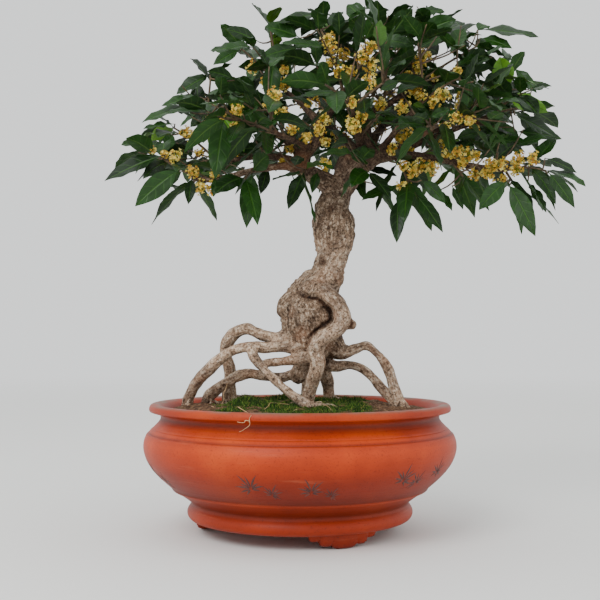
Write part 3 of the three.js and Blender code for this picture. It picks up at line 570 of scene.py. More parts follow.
# Wood: trunk, surface roots and branches, grown as one. Every limb is a round surface carried along
# its own path. All are run together on a fine grid, so that they flow into each other, and the
# skin is then pushed in and out into burls, furrows and bark.
LIMBS = {
    "trunk": [
        [22, 8, 262, 24], [17, 6, 289, 36], [12, 4, 317, 42], [14, 3, 343, 40], [28, 2, 366, 33],
        [40, 0, 384, 26], [44, 0, 401, 23], [48, 0, 418, 24], [51, 0, 434, 29], [52, 0, 451, 32],
        [52, 0, 466, 33], [50, 0, 481, 29], [53, 0, 496, 24], [60, 0, 509, 19], [64, 0, 524, 19],
        [68, 0, 539, 17], [71, 2, 556, 15], [73, 3, 570, 12],
    ],
    "burl": [[20, -11, 332, 31], [38, -10, 297, 21]],
    "crown_left": [[18, -8, 341, 26], [-6, -8, 347, 20], [-20, -6, 340, 15], [-24, -4, 325, 13]],
    "crown_right": [[34, 2, 308, 27], [48, 6, 285, 21], [61, 8, 271, 15], [74, 6, 268, 10]],
    "front_root": [
        [33, -22, 363, 15], [47, -30, 351, 13], [60, -34, 336, 13], [64, -38, 320, 13],
        [57, -42, 306, 12], [41, -46, 295, 12], [28, -48, 283, 13], [23, -48, 269, 12],
        [26, -46, 254, 11], [22, -40, 236, 11], [16, -30, 218, 11], [12, -22, 202, 11],
        [9, -16, 187, 12], [8, -12, 169, 8],
    ],
    "front_knob": [[60, -38, 316, 10], [74, -38, 311, 9], [82, -38, 309, 6]],
    "right_arch": [
        [50, 6, 276, 13], [70, 4, 269, 10], [86, 2, 274, 9], [101, 0, 278, 8], [113, -4, 271, 7],
        [125, -8, 258, 7], [134, -12, 242, 8], [139, -14, 226, 8], [144, -16, 209, 8],
        [150, -16, 193, 9], [154, -16, 174, 7],
    ],
    "right_toe": [[147, -17, 200, 6], [158, -25, 189, 5], [167, -32, 178, 4]],
    "right_low": [
        [34, 20, 256, 12], [54, 22, 247, 9], [77, 22, 249, 7], [96, 20, 243, 7], [110, 18, 231, 7],
        [123, 14, 216, 7], [136, 8, 202, 7], [146, 2, 188, 7], [150, -2, 174, 6],
    ],
    "back_root": [
        [28, 25, 268, 14], [34, 37, 245, 10], [42, 46, 227, 10], [46, 55, 207, 10], [47, 60, 188, 11],
        [47, 60, 172, 9],
    ],
    "back_tail": [
        [12, 34, 322, 16], [18, 72, 300, 12], [16, 98, 268, 10], [12, 114, 234, 9], [10, 122, 205, 10],
        [10, 124, 174, 8],
    ],
    "cut_root": [[12, 15, 268, 14], [2, 12, 247, 13], [-3, 10, 234, 13], [-3, 10, 222, 10]],
    "left_arch": [
        [-4, 0, 300, 16], [-31, 0, 289, 11], [-52, 2, 294, 10], [-68, 6, 300, 9], [-84, 10, 305, 10],
        [-101, 18, 298, 10], [-113, 28, 283, 10], [-116, 40, 266, 10], [-112, 52, 248, 10],
        [-110, 62, 229, 10], [-112, 69, 210, 10], [-113, 72, 191, 11], [-113, 72, 174, 9],
    ],
    "left_long": [
        [4, -10, 278, 14], [-23, -14, 277, 10], [-48, -16, 276, 8], [-72, -18, 277, 8],
        [-91, -18, 275, 9], [-110, -14, 267, 9], [-128, -8, 253, 9], [-144, 2, 238, 9],
        [-159, 14, 222, 9], [-169, 26, 207, 10], [-175, 36, 193, 10], [-177, 38, 176, 8],
    ],
    "cross_root": [
        [-75, -19, 276, 7], [-70, -30, 262, 8], [-58, -38, 248, 7], [-41, -46, 232, 7],
        [-25, -52, 217, 7], [-10, -56, 206, 7], [5, -60, 196, 8], [23, -68, 186, 7], [42, -78, 174, 6],
    ],
    "mid_root": [[18, -15, 262, 12], [-8, -22, 258, 8], [-33, -28, 255, 7], [-52, -32, 252, 7]],
    "low_root": [
        [28, 10, 250, 13], [3, 14, 241, 9], [-22, 18, 231, 8], [-50, 22, 231, 7], [-75, 26, 235, 7],
        [-97, 30, 231, 8], [-116, 36, 220, 8], [-133, 44, 208, 9], [-147, 52, 194, 9],
        [-153, 56, 176, 7],
    ],
    "left_limb": [
        [60, -2, 512, 17], [43, -8, 526, 14], [26, -14, 535, 13], [9, -20, 543, 12], [-5, -24, 551, 11],
    ],
    "left_stub": [[-4, -25, 550, 7], [-11, -30, 536, 4]],
    "left_low": [
        [-2, -24, 550, 9], [-24, -30, 549, 7], [-53, -38, 545, 5], [-79, -46, 538, 4.5],
        [-104, -54, 530, 4], [-130, -62, 523, 4], [-152, -70, 524, 3.5],
    ],
    "left_second": [
        [-5, -20, 555, 8], [-26, -16, 565, 6], [-55, -8, 568, 5], [-83, 0, 567, 4.5],
        [-108, 8, 566, 4], [-133, 14, 569, 3.5],
    ],
    "left_riser": [
        [-2, -24, 553, 11], [6, -26, 568, 10], [20, -28, 580, 9], [29, -30, 596, 8],
        [36, -32, 615, 6.5], [48, -36, 633, 5.5], [59, -40, 645, 5], [64, -44, 661, 4],
    ],
    "left_back": [
        [6, -14, 558, 9], [-6, 10, 581, 6.5], [-25, 36, 602, 5], [-48, 60, 621, 4], [-72, 80, 639, 3.5],
    ],
    "left_front": [[15, -30, 576, 7], [-3, -60, 579, 5], [-23, -92, 582, 4], [-43, -120, 584, 3.5]],
    "left_high": [
        [33, -30, 607, 6.5], [18, -20, 629, 5], [0, -10, 651, 4.5], [-19, 0, 669, 4],
        [-37, 6, 685, 3.5],
    ],
    "right_limb": [
        [62, 0, 510, 17], [77, -4, 532, 17], [92, -8, 550, 16], [107, -12, 563, 15],
        [124, -14, 570, 12],
    ],
    "right_low_limb": [
        [116, -14, 567, 11], [140, -20, 567, 8], [166, -28, 567, 6.5], [195, -36, 561, 5.5],
        [224, -44, 554, 5], [253, -52, 546, 4.5], [281, -60, 541, 4], [303, -66, 537, 3.5],
    ],
    "right_long": [
        [124, -13, 571, 9], [156, -10, 579, 6.5], [181, -6, 588, 5.5], [207, -4, 598, 5],
        [234, -4, 609, 4.5], [258, -4, 618, 4], [283, -4, 627, 4], [306, -4, 638, 3.5],
    ],
    "riser": [
        [104, -8, 563, 13], [103, -2, 585, 10], [102, 4, 604, 8.5], [104, 8, 624, 7], [112, 10, 639, 6],
        [131, 12, 650, 5], [153, 14, 665, 4.5], [172, 16, 679, 4],
    ],
    "riser_top": [
        [104, 8, 621, 6], [96, 4, 642, 5], [88, 0, 661, 4.5], [82, -4, 677, 4], [77, -8, 695, 3.5],
    ],
    "right_thin": [
        [122, -18, 572, 7], [135, -36, 590, 5], [149, -52, 606, 4.5], [164, -66, 621, 4],
        [177, -78, 633, 3.5],
    ],
    "back_right_high": [
        [105, 2, 578, 10], [117, 40, 606, 7], [133, 76, 632, 5.5], [152, 110, 660, 4.5],
        [169, 140, 687, 3.5],
    ],
    "back_right": [
        [124, -4, 572, 9], [161, 36, 598, 6], [200, 70, 618, 5], [240, 100, 638, 4],
        [277, 124, 656, 3.5],
    ],
    "back_left": [
        [98, 0, 566, 10], [82, 40, 593, 7], [65, 74, 619, 5.5], [46, 104, 642, 4.5],
        [27, 128, 664, 3.5],
    ],
    "front": [
        [101, -12, 571, 9], [89, -50, 584, 6], [81, -86, 595, 5], [77, -120, 602, 4],
        [72, -150, 609, 3.5],
    ],
    "front_right": [[139, -20, 568, 8], [157, -60, 576, 5], [173, -96, 581, 4], [187, -126, 586, 3.5]],
}
SKIN = 0.0023                   # the grid that the limbs are run together on, in metres
LIMB_STEP, LIMB_SIDES = 4, 20


def path_of(points, shares):
    """The smooth path through a list of points at shares of its length: on each stretch the cubic that
    passes its two points with the slopes of their neighbours, and straight on past both ends."""
    points = np.array([point[:3] for point in points], float)
    points = np.concatenate([[2 * points[0] - points[1]], points, [2 * points[-1] - points[-2]]])
    place = np.clip(np.asarray(shares, float), 0, 1) * (len(points) - 3)
    before = np.minimum(place.astype(int), len(points) - 4)
    part = (place - before)[..., None]
    a, b, c, d = (points[before + i] for i in range(4))
    near, far = (c - a) / 2, (d - b) / 2
    return b + part * (near + part * (3 * (c - b) - 2 * near - far + part * (2 * (b - c) + near + far)))


def direction_of(points, share):
    """The way a path runs at a share of its length, from a place just before to one just after."""
    return unit(path_of(points, min(share + 1e-4, 1)) - path_of(points, max(share - 1e-4, 0)))


def radius_of(points, shares):
    """A limb's radius at shares of its length, in a straight line between its points."""
    radii = [point[3] for point in points]
    return np.interp(np.asarray(shares) * (len(points) - 1), np.arange(len(points)), radii)


def length_of(points):
    """The length of the smooth path through a list of points, in two hundred short steps."""
    return np.linalg.norm(np.diff(path_of(points, np.linspace(0, 1, 201)), axis=0), axis=1).sum()


def frames_along(path):
    """At each station of a path its direction and two directions across it, the first of them
    brought over from station to station with as little turning as can be."""
    along = unit(np.gradient(path, axis=0))
    side = np.empty_like(path)
    carried = np.array([0.31, 0.95, 0.05])
    for station, direction in enumerate(along):
        carried = unit(carried - direction * (carried @ direction))
        side[station] = carried
    return along, side, np.cross(along, side)


def tube(path, radii, sides):
    """A circle of each station's radius carried along a path, with a pole to close either end."""
    along, side, across = frames_along(path)
    angle = np.linspace(0, 2 * np.pi, sides, endpoint=False)[None, :, None]
    ring = side[:, None] * np.cos(angle) + across[:, None] * np.sin(angle)
    radii = np.broadcast_to(radii, len(path))
    places = (path[:, None] + radii[:, None, None] * ring).reshape(-1, 3)
    poles = np.stack([path[0] - along[0] * radii[0] / 2, path[-1] + along[-1] * radii[-1] / 2])
    return np.concatenate([places, poles]), closed_faces(len(path), sides)


def stations(points, step):
    """Shares of a limb's length about a step apart, both ends among them."""
    return np.linspace(0, 1, max(3, int(np.ceil(length_of(points) / step)) + 1))


def stepped(points, step):
    """The places and the radii at a limb's stations, about a step apart."""
    shares = stations(points, step)
    return path_of(points, shares), radius_of(points, shares)


def limb_skin(points, step, sides, part=1):
    """A limb as a tube: its radii, or a part of them, carried along its path."""
    path, radii = stepped(points, step)
    return tube(path, radii * part, sides)


DARK_LIMBS = ["trunk", "burl", "crown_left", "crown_right"]     # other low limbs are pale roots
LIMB_NEAR, PALE_SOFT = 60, 1.2  # mm: how far a limb counts, and over how much dark turns pale


def near_limbs(places):
    """For each place the limb whose surface is nearest: the station's middle and two directions
    across it, its radius, and how far along the limb it lies. Last comes how much the place belongs
    to the pale roots: a smooth step of how much nearer they are than the dark wood."""
    best = np.full(len(places), 1e9)
    nearest = {True: best.copy(), False: best.copy()}
    radius, run = np.zeros(len(places)), np.zeros(len(places))
    middle, side, across = (np.zeros((len(places), 3)) for _ in range(3))
    for name, points in LIMBS.items():
        shares = stations(points, 5)
        path = path_of(points, shares)
        radii = radius_of(points, shares)
        _, limb_side, limb_across = frames_along(path)
        box = (places > path.min(0) - LIMB_NEAR).all(1) & (places < path.max(0) + LIMB_NEAR).all(1)
        if not box.any():
            continue
        gap = np.linalg.norm(places[box, None] - path, axis=2) - radii
        at = gap.argmin(1)
        gap = gap[np.arange(len(at)), at]
        dark = name in DARK_LIMBS
        nearest[dark][box] = np.minimum(nearest[dark][box], gap)
        better = gap < best[box]
        rows = np.flatnonzero(box)[better]
        at = at[better]
        best[rows] = gap[better]
        radius[rows] = radii[at]
        run[rows] = shares[at] * length_of(points)
        middle[rows], side[rows], across[rows] = path[at], limb_side[at], limb_across[at]
    pale = 1 / (1 + np.exp(np.clip((nearest[False] - nearest[True]) / PALE_SOFT, -30, 30)))
    return middle, side, across, radius, run, pale


places, faces = join(*(limb_skin(points, LIMB_STEP, LIMB_SIDES) for points in LIMBS.values()))
rough_mesh = bpy.data.meshes.new("rough_wood")
rough_mesh.from_pydata((places / 1000).tolist(), [], faces.tolist())
rough = bpy.data.objects.new("rough_wood", rough_mesh)
bpy.context.collection.objects.link(rough)
run_together = rough.modifiers.new("run_together", "REMESH")
run_together.mode = "VOXEL"
run_together.voxel_size = SKIN
even = rough.modifiers.new("even", "SMOOTH")
even.factor = 0.5
even.iterations = 3
skin = bpy.data.meshes.new_from_object(rough.evaluated_get(bpy.context.evaluated_depsgraph_get()))
places = np.zeros(len(skin.vertices) * 3)
skin.vertices.foreach_get("co", places)
places = places.reshape(-1, 3) * 1000
normals = np.zeros(len(skin.vertices) * 3, np.float32)
skin.vertex_normals.foreach_get("vector", normals)
normals = normals.reshape(-1, 3)
corners = np.zeros(len(skin.polygons) * 4, int)
skin.loops.foreach_get("vertex_index", corners)
quads = corners.reshape(-1, 4)
bpy.data.objects.remove(rough)

middle, side, across, radius, run, pale = near_limbs(places)

# The front root stands out from the trunk as a smooth pale band between two creases.
BAND = [[12, -22, 367, 8], *LIMBS["front_root"][:9]]
BAND_HALF, BAND_RISE = 9, 4.5
CREASE_AT, CREASE_HALF, CREASE_DEEP = 15.5, 2.8, 3.6
DRAWN_OUT = 3.2                 # how much longer than wide the fibres and furrows are
PUSH_MOST = 3.8
height = places[:, 2]
line = path_of(BAND, np.linspace(0, 1, 90))[:, [0, 2]]
aside = np.linalg.norm(places[:, None, [0, 2]] - line, axis=2).min(1)
in_front = np.clip(-2 * normals[:, 1], 0, 1) * part_way(height, 272, 284)
band = in_front * np.exp(-(aside / BAND_HALF) ** 4)
crease = in_front * np.exp(-((aside - CREASE_AT) / CREASE_HALF) ** 2)
crease *= part_way(height, 284, 294) * part_way(height, 366, 352)
pale = np.maximum(pale, band)
waist = part_way(height, 366, 382) * part_way(height, 452, 432)
pale_tint = np.maximum(pale, 0.8 * waist)
offset = places - middle
local = np.stack([(offset * side).sum(1), (offset * across).sum(1), run], -1)
grain = local / [1, 1, DRAWN_OUT]
stout = part_way(radius, 7, 27)
rough = stout * (1 - 0.6 * pale * (height < 375)) * (1 - 0.5 * band)
furrows = 1 - np.abs(mottle(grain, 7, 5)) * 2
ripples = 1 - np.abs(mottle(grain, 3.4, 6)) * 2
lumps = mottle(places, 30, 7) * 0.6 + mottle(places, 13, 8) * 0.4
pebbles = mottle(places, 6, 10) + 0.6 * mottle(places, 3.2, 11)
thin_skin = 0.25 * furrows + 0.45 * mottle(places, 6, 9) + radius * 0.08 * mottle(places, 18, 12)
push = radius * (0.1 + 0.22 * pale) * lumps
push += rough * (0.8 * furrows.clip(-0.4, 1) + 0.3 * ripples + 1.8 * pebbles)
push += (1 - stout) * thin_skin
places = places + normals * np.clip(push, -PUSH_MOST, PUSH_MOST)[:, None]
HOLLOWS = [                     # where the wood is sunk, with painted shade: picture point, depth, reach and how deep
    [314, 301, -46, 6, 1.6], [321, 307, -46, 7, 3], [327, 312, -46, 7, 2.4], [319, 315, -48, 6, 1.6],
    [326, 325, -48, 5, 1.6], [316, 334, -48, 5, 2], [308, 343, -44, 7, 3.6], [299, 349, -40, 7, 3.4],
    [303, 290, -42, 4, 2.6], [297, 295, -40, 4, 3], [291, 300, -38, 4, 3.2], [285, 305, -36, 4, 3.2],
    [279, 310, -34, 5, 3],
    [336, 232, -28, 7, 3], [322, 262, -22, 6, 3], [330, 209, -28, 8, 3], [316, 226, -26, 7, 2.6],
    [343, 214, -24, 6, 2.4], [330, 246, -26, 6, 2.4], [290, 330, -36, 7, 2.6], [300, 318, -42, 5, 2.2],
]
# The creases and hollows are pushed in, and how deep they are sunk also darkens the bark there as
# painted shade.
sunk = CREASE_DEEP * crease
for across_picture, down_picture, depth, reach, deep in HOLLOWS:
    gap = np.linalg.norm((places - seen_at(across_picture, down_picture, depth)) / reach, axis=1)
    sunk += deep * np.exp(-gap ** 2)
places = places + normals * (BAND_RISE * band - sunk)[:, None]

bark, tree, shader = new_finish("grey_brown_bark", Roughness=0.82, Specular_IOR_Level=0.25)
here = place_in(tree)
height_here = upward(tree, here)
fibre = carried(tree, "fibre", "Vector")
cells = {"Vector": fibre, "Scale": 150, "Randomness": 1}
cracks = node(tree, "TexVoronoi", cells, feature="DISTANCE_TO_EDGE").outputs["Distance"]
fine = blend(tree, 0.55, noise(tree, fibre, 240, 6, 0.7), noise(tree, here, 170, 6, 0.8))
root_colour = ramp(tree, fine, (0.37, 80, 56, 42), (0.5, 198, 168, 142), (0.61, 250, 234, 214))
trunk_colour = ramp(tree, fine, (0.37, 54, 40, 32), (0.5, 152, 126, 104), (0.61, 236, 218, 196))
branch_colour = ramp(tree, fine, (0.36, 46, 34, 28), (0.5, 92, 72, 58), (0.64, 146, 122, 100))
not_root = span(tree, carried(tree, "pale"), 0.2, 0.7, 1, 0)
to_trunk = maths(tree, "MAXIMUM", not_root, span(tree, height_here, 0.43, 0.46))
to_branch = span(tree, height_here, 0.47, 0.57)
colour = blend(tree, to_branch, blend(tree, to_trunk, root_colour, trunk_colour), branch_colour)
colour = tinted(tree, colour, 0.9, noise(tree, here, 34, 5, 0.65),
                (0.32, 140, 132, 128), (0.52, 225, 222, 218), (0.7, 255, 252, 246))
colour = tinted(tree, colour, 0.22, cracks, (0, 105, 92, 84), (0.1, 255, 255, 255))
colour = tinted(tree, colour, 0.85, noise(tree, here, 330, 3, 0.8),
                (0.38, 70, 52, 42), (0.5, 255, 255, 255))
rust = span(tree, noise(tree, here, 21, 4), 0.56, 0.76, 0, 0.4)
colour = blend(tree, rust, colour, paint(150, 96, 62))
# Painted shade: darker where the wood is sunk, in the creases and the hollows.
colour = tinted(tree, colour, 1, carried(tree, "sunk"),
                (0, 255, 255, 255), (0.5, 120, 96, 80), (1, 46, 34, 28))
# Painted shade: darker down in the furrows, the deeper they are pushed in.
colour = tinted(tree, colour, 0.8, carried(tree, "furrow"), (0.1, 120, 106, 98), (0.45, 255, 255, 255))
tree.links.new(colour, shader.inputs["Base Color"])
relief = bump(tree, span(tree, cracks, 0, 0.12), 0.0006, 0.3)
tree.links.new(bump(tree, fine, 0.0026, 1, relief), shader.inputs["Normal"])
new_piece("wood", places, quads, "bark", [bark], ["trunk"],
          values={"fibre": grain / 1000, "sunk": np.clip(sunk / 6, 0, 1), "pale": pale_tint,
                  "furrow": np.clip(0.5 + 0.5 * furrows * stout + 0.5 * (1 - stout), 0, 1)})

# Root ends: short toes that spread from the feet of the roots over the soil and into it, and pale
# hair roots, thin as string, that trail over the moss and over the lip of the pot.
TOES = [                        # radius, then x, y and a height, or none where they lie on the soil
    (4.2, [[2, -60, 197], [16, -66], [32, -72], [46, -75], [58, -80]]),
    (3, [[8, -61, 193], [22, -60], [34, -58], [44, -52]]),
    (2.6, [[6, -61, 192], [14, -74], [24, -86], [30, -98]]),
    (3, [[9, -18, 198], [20, -30], [30, -42], [34, -54]]),
    (2.6, [[8, -18, 196], [-4, -30], [-12, -44], [-22, -52]]),
    (2.6, [[-170, 30, 200], [-174, 14], [-170, 0], [-174, -14]]),
    (2.4, [[-144, 50, 198], [-138, 34], [-140, 20], [-132, 8]]),
    (2.2, [[-146, 50, 198], [-126, 44], [-112, 34], [-104, 22]]),
    (2.8, [[150, -18, 200], [140, -34], [136, -50], [126, -62]]),
    (2.4, [[152, -16, 196], [160, -2], [158, 14], [164, 26]]),
    (2.6, [[-112, 70, 200], [-100, 82], [-84, 88], [-72, 98]]),
    (2.6, [[47, 60, 200], [60, 72], [66, 86], [78, 94]]),
    (2.4, [[10, 122, 200], [-4, 132], [-18, 136], [-30, 146]]),
]
HAIR_ROOTS = [
    [[-113, 28, 222], [-116, 22, 208], [-119, 17, 194], [-121, 15, 182]],
    [[-10, -52], [-18, -66], [-29, -86], [-41, -104], [-47, -124], [-58, -142]],
    [[-84, -108], [-86, -132], [-74, -150], [-66, -176], [-67, -196], [-64, -208], [-65, -217],
     [-65, -220, 184], [-67, -220, 176], [-73, -219, 171], [-79, -217, 168]],
    [[-66, -218], [-69, -220, 183], [-75, -219, 180], [-82, -217, 181]],
    [[28, -84], [36, -98], [41, -118], [52, -134]],
    [[4, -88], [-4, -104], [-6, -122], [-15, -138]],
    [[-122, -40], [-128, -58], [-126, -78], [-134, -94]],
    [[-96, 16], [-88, -4], [-84, -28], [-72, -52]],
    [[142, -26], [150, -44], [148, -62], [157, -78]],
    [[66, -6], [74, -26], [72, -44], [80, -60]],
]
LIP = [                         # radius and height, from the soil's edge over the lip
    [199, 180], [205, 186], [211, 190], [216, 192], [221, 192.4], [224.5, 191.6], [226.8, 189],
    [228, 185],
]
MOSS_PRESSED = 3.4              # how high moss holds a root off the soil
ROOT_DIP = 5                    # how deep a root's end goes into it


def ground(x, y):
    """The height that lies below a place: the top of the soil and what moss is pressed flat there, or
    further out the lip of the pot."""
    reach = np.hypot(x, y)
    if reach > LIP[0][0]:
        return np.interp(reach, *np.transpose(LIP))
    place = np.array([[x, y, 0.0]])
    return soil_height(place)[0] + MOSS_PRESSED * np.clip(moss_share(place)[0], 0, 1)


def laid(line, thick, thin, sides, sway):
    """A tapered root that lies along a line of places and sways from side to side. An end that isn't
    given a height dips into the soil."""
    points = [[x, y, *(height or [ground(x, y)])] for x, y, *height in line]
    for end in (0, -1):
        if len(line[end]) == 2:
            points[end][2] -= ROOT_DIP + thin
    share = np.linspace(0, 1, 8 * len(line))
    path = path_of(points, share)
    path[:, 0] += sway * np.sin(share * 3.1 * len(line)) * np.sin(np.pi * share)
    return tube(path, thick + (thin - thick) * share, sides)


places, faces = join(*(laid(line, thick, thin=1, sides=12, sway=1.6) for thick, line in TOES))
bare = np.zeros(len(places))
new_piece("root_toes", places, faces, "bark", [bark],
          values={"fibre": places / 1000, "sunk": bare, "pale": bare + 1, "furrow": bare + 0.5})
root_skin, tree, shader = new_finish("pale_root_skin", Roughness=0.7)
colour = ramp(tree, noise(tree, place_in(tree), 180, 3), (0.3, 150, 112, 74), (0.6, 206, 172, 128))
tree.links.new(colour, shader.inputs["Base Color"])
places, faces = join(*(laid(line, 0.65, thin=0.3, sides=6, sway=1.3) for line in HAIR_ROOTS))
new_piece("hair_roots", places, faces, "bark", [root_skin])

# Leaves: leathery pointed blades in opposite pairs, dark and glossy above and paler below, folded a
# little along the rib and arched over under their weight. The seeded rule that placed the largest
# ones is followed here again, and more are grown between them.
STEMS = {
    "left_low": [
        ([[-151, -69, 524], [-182, -80, 541], [-214, -90, 556]], 3),
        ([[-151, -69, 524], [-162, -52, 520], [-178, -36, 518]], 2),
    ],
    "left_second": [
        ([[-132, 14, 569], [-164, 22, 598], [-200, 32, 622]], 3),
        ([[-132, 14, 569], [-142, 4, 630], [-138, -4, 690]], 2),
    ],
    "left_high": [
        ([[-36, 6, 684], [-62, 10, 714], [-92, 14, 742]], 3),
        ([[-36, 6, 684], [-40, -12, 726], [-46, -24, 768]], 2),
    ],
    "left_riser": [
        ([[64, -44, 660], [50, -54, 706], [30, -62, 750]], 3),
        ([[64, -44, 660], [86, -64, 688], [106, -82, 714]], 2),
    ],
    "left_back": [
        ([[-71, 79, 638], [-106, 100, 662], [-142, 120, 680]], 3),
        ([[-71, 79, 638], [-78, 112, 656], [-80, 144, 668]], 2),
    ],
    "left_front": [
        ([[-42, -119, 584], [-72, -142, 592], [-104, -160, 594]], 3),
        ([[-42, -119, 584], [-40, -150, 600], [-30, -180, 612]], 2),
    ],
    "right_low": [
        ([[302, -66, 537], [330, -74, 540], [358, -80, 534]], 3),
        ([[302, -66, 537], [316, -56, 520], [330, -50, 506]], 2),
    ],
    "right_long": [
        ([[305, -4, 637], [334, 0, 644], [362, 6, 640]], 3),
        ([[305, -4, 637], [318, 10, 670], [328, 22, 704]], 2),
    ],
    "riser": [
        ([[171, 16, 678], [194, 20, 728], [212, 24, 776]], 3),
        ([[171, 16, 678], [224, 8, 714], [274, 2, 742]], 3),
    ],
    "riser_top": [
        ([[77, -8, 694], [88, -4, 738], [98, 2, 780]], 3),
        ([[77, -8, 694], [60, -2, 732], [38, 8, 768]], 2),
    ],
    "right_thin": [
        ([[176, -77, 632], [202, -98, 650], [228, -116, 662]], 3),
        ([[176, -77, 632], [176, -100, 670], [168, -122, 706]], 2),
    ],
    "back_right_high": [
        ([[168, 139, 686], [196, 162, 714], [226, 182, 740]], 3),
        ([[168, 139, 686], [146, 160, 720], [122, 178, 752]], 2),
    ],
    "back_right": [
        ([[276, 123, 655], [306, 138, 662], [336, 150, 660]], 3),
        ([[276, 123, 655], [288, 112, 684], [298, 100, 710]], 2),
    ],
    "back_left": [
        ([[28, 127, 663], [2, 152, 692], [-26, 176, 716]], 3),
        ([[28, 127, 663], [44, 162, 698], [58, 192, 730]], 2),
    ],
    "front": [
        ([[72, -149, 609], [54, -176, 622], [34, -198, 630]], 3),
        ([[72, -149, 609], [96, -172, 626], [120, -190, 640]], 2),
    ],
    "front_right": [
        ([[186, -125, 586], [214, -148, 594], [240, -168, 596]], 3),
        ([[186, -125, 586], [180, -156, 584], [172, -184, 576]], 2),
    ],
    "low_left": [([[-66, -42, 541], [-74, -62, 534], [-80, -84, 522]], 2)],
    "low_right": [([[224, -44, 554], [232, -62, 540], [238, -82, 524]], 2)],
    "low_middle": [([[140, -20, 566], [152, -42, 546], [160, -60, 520]], 2)],
    "crotch": [([[92, -8, 550], [98, -44, 546], [100, -72, 534]], 2)],
    "long_middle": [([[234, -4, 609], [246, -20, 654], [254, -36, 698]], 2)],
    "back_low_right": [([[200, 70, 618], [214, 104, 606], [226, 136, 592]], 2)],
    "back_low": [([[65, 74, 619], [60, 112, 612], [54, 148, 600]], 2)],
    "back_low_left": [([[-25, 36, 602], [-44, 64, 590], [-62, 92, 576]], 2)],
    "left_limb": [([[9, -20, 543], [6, -50, 540], [2, -72, 530]], 2)],
    "riser_back": [([[94, 3, 646], [68, 33, 653], [44, 57, 662]], 2)],
    "left_middle": [([[31, -31, 600], [4, -52, 612], [-18, -72, 622]], 2)],
    "right_middle": [([[181, -6, 588], [196, 24, 612], [210, 48, 636]], 2)],
    "high_middle": [
        ([[131, 12, 650], [132, -20, 696], [136, -48, 738]], 2),
        ([[131, 10, 653], [112, 36, 678], [90, 54, 699]], 2),
    ],
}
LEAF_WIDTH = 0.45               # of the length
FIRST_PAIR, LAST_PAIR = 0.3, 0.96
PAIR_TILT, LEAN_PLAY, TILT_PLAY = 34, 8, 20
TRY_TURNS = [0, 24, -24, 48, -48, 75, -75]
TWIG_RADIUS, TWIG_TAPER = 2.8, 0.45
UP = np.array([0.0, 0.0, 1.0])
HEAD_RADIUS, HEAD_STEP = 12.5, 17
SIDES = {"front": [0, -1, 0.25], "above": [0, -0.3, 1], "below": [0, -0.5, -1], "back": [0, 1, 0.25]}
BUNCHES = [
    ("left_riser/0", 0.62, "front", 2), ("riser_top/1", 0.34, "front", 1),
    ("left_riser/1", 0.8, "front", 2), ("left_high", 0.84, "front", 1),
    ("left_high/0", 0.56, "below", 1), ("left_front/1", 0.66, "above", 2),
    ("left_front", 0.53, "above", 1), ("left_riser", 0.47, "front", 2),
    ("left_limb", 0.5, "above", 1), ("front", 0.76, "below", 2), ("riser", 0.66, "front", 1),
    ("riser/0", 0.3, "front", 2), ("right_thin", 0.72, "above", 1),
    ("right_thin/0", 0.3, "below", 2), ("long_middle/0", 0.36, "front", 2),
    ("right_long", 0.48, "below", 1), ("right_long", 0.14, "above", 2),
    ("right_low_limb", 0.6, "above", 2), ("right_low_limb", 0.86, "front", 2),
    ("right_low/0", 0.34, "above", 2), ("right_low_limb", 0.38, "below", 2),
    ("left_second/1", 0.42, "front", 1), ("left_second/0", 0.46, "front", 2),
    ("left_low/0", 0.58, "above", 1), ("left_low", 0.84, "below", 2),
    ("back_left/1", 0.5, "back", 1), ("back_right/1", 0.4, "back", 1),
    ("left_back/1", 0.5, "back", 1),
]

seed = 20251


def draw():
    """The next number between 0 and 1: the seed times 16807, less whole times 2147483647."""
    global seed
    seed = seed * 16807 % 2147483647
    return seed / 2147483647


twigs = []
for stem, forks in STEMS.items():
    for fork, (path, pairs) in enumerate(forks):
        points = [[*point, TWIG_RADIUS - TWIG_TAPER * i] for i, point in enumerate(path)]
        twigs.append((stem, f"{stem}/{fork}", pairs, points))
carriers = {**LIMBS, **{owner: points for _, owner, _, points in twigs}}

MOST_PLACES = 200000
room = np.zeros((MOST_PLACES, 4))   # places that are taken, and the radius round each
room_owner = np.zeros(MOST_PLACES, int)
room_count = 0
owners = {}


def hold(places, radii, owner):
    """Takes places for what grows there."""
    global room_count
    rows = slice(room_count, room_count + len(places))
    room[rows, :3], room[rows, 3] = places, radii
    room_owner[rows] = owners.setdefault(owner, len(owners) + 1) if isinstance(owner, str) else owner
    room_count += len(places)


def leaf_frame(leaf, share):
    """The rib of a leaf, its side and its upper side at a share of its length: it leaves along its
    direction and sinks with the square of the share."""
    root, along, across, length, droop = leaf
    share = np.asarray(share, float)[..., None]
    middle = root + along * length * share - UP * droop * length * share ** 2
    forward = unit(along - 2 * droop * share * UP)
    side = unit(across - forward * (forward * across).sum(-1, keepdims=True))
    return middle, side, np.cross(side, forward)


LEAF_ROWS, LEAF_PLACES = 8, 5       # the places that stand for a leaf, along it and across it
OWN_ROWS = 3                        # so many rows may lie near the leaf's own twig
row_number = np.repeat(np.arange(LEAF_ROWS), LEAF_PLACES)


def leaf_places(leaf):
    """Five places across a leaf in each of eight rows."""
    share = np.arange(1, LEAF_ROWS + 1) / LEAF_ROWS
    middle, side, _ = leaf_frame(leaf, share)
    half = 0.5 * LEAF_WIDTH * leaf[3] * np.sin(np.pi * np.minimum(share, 0.97) ** 0.85)
    parts = np.linspace(-1, 1, LEAF_PLACES)
    return (middle[:, None] + (half[:, None] * parts)[..., None] * side[:, None]).reshape(-1, 3)


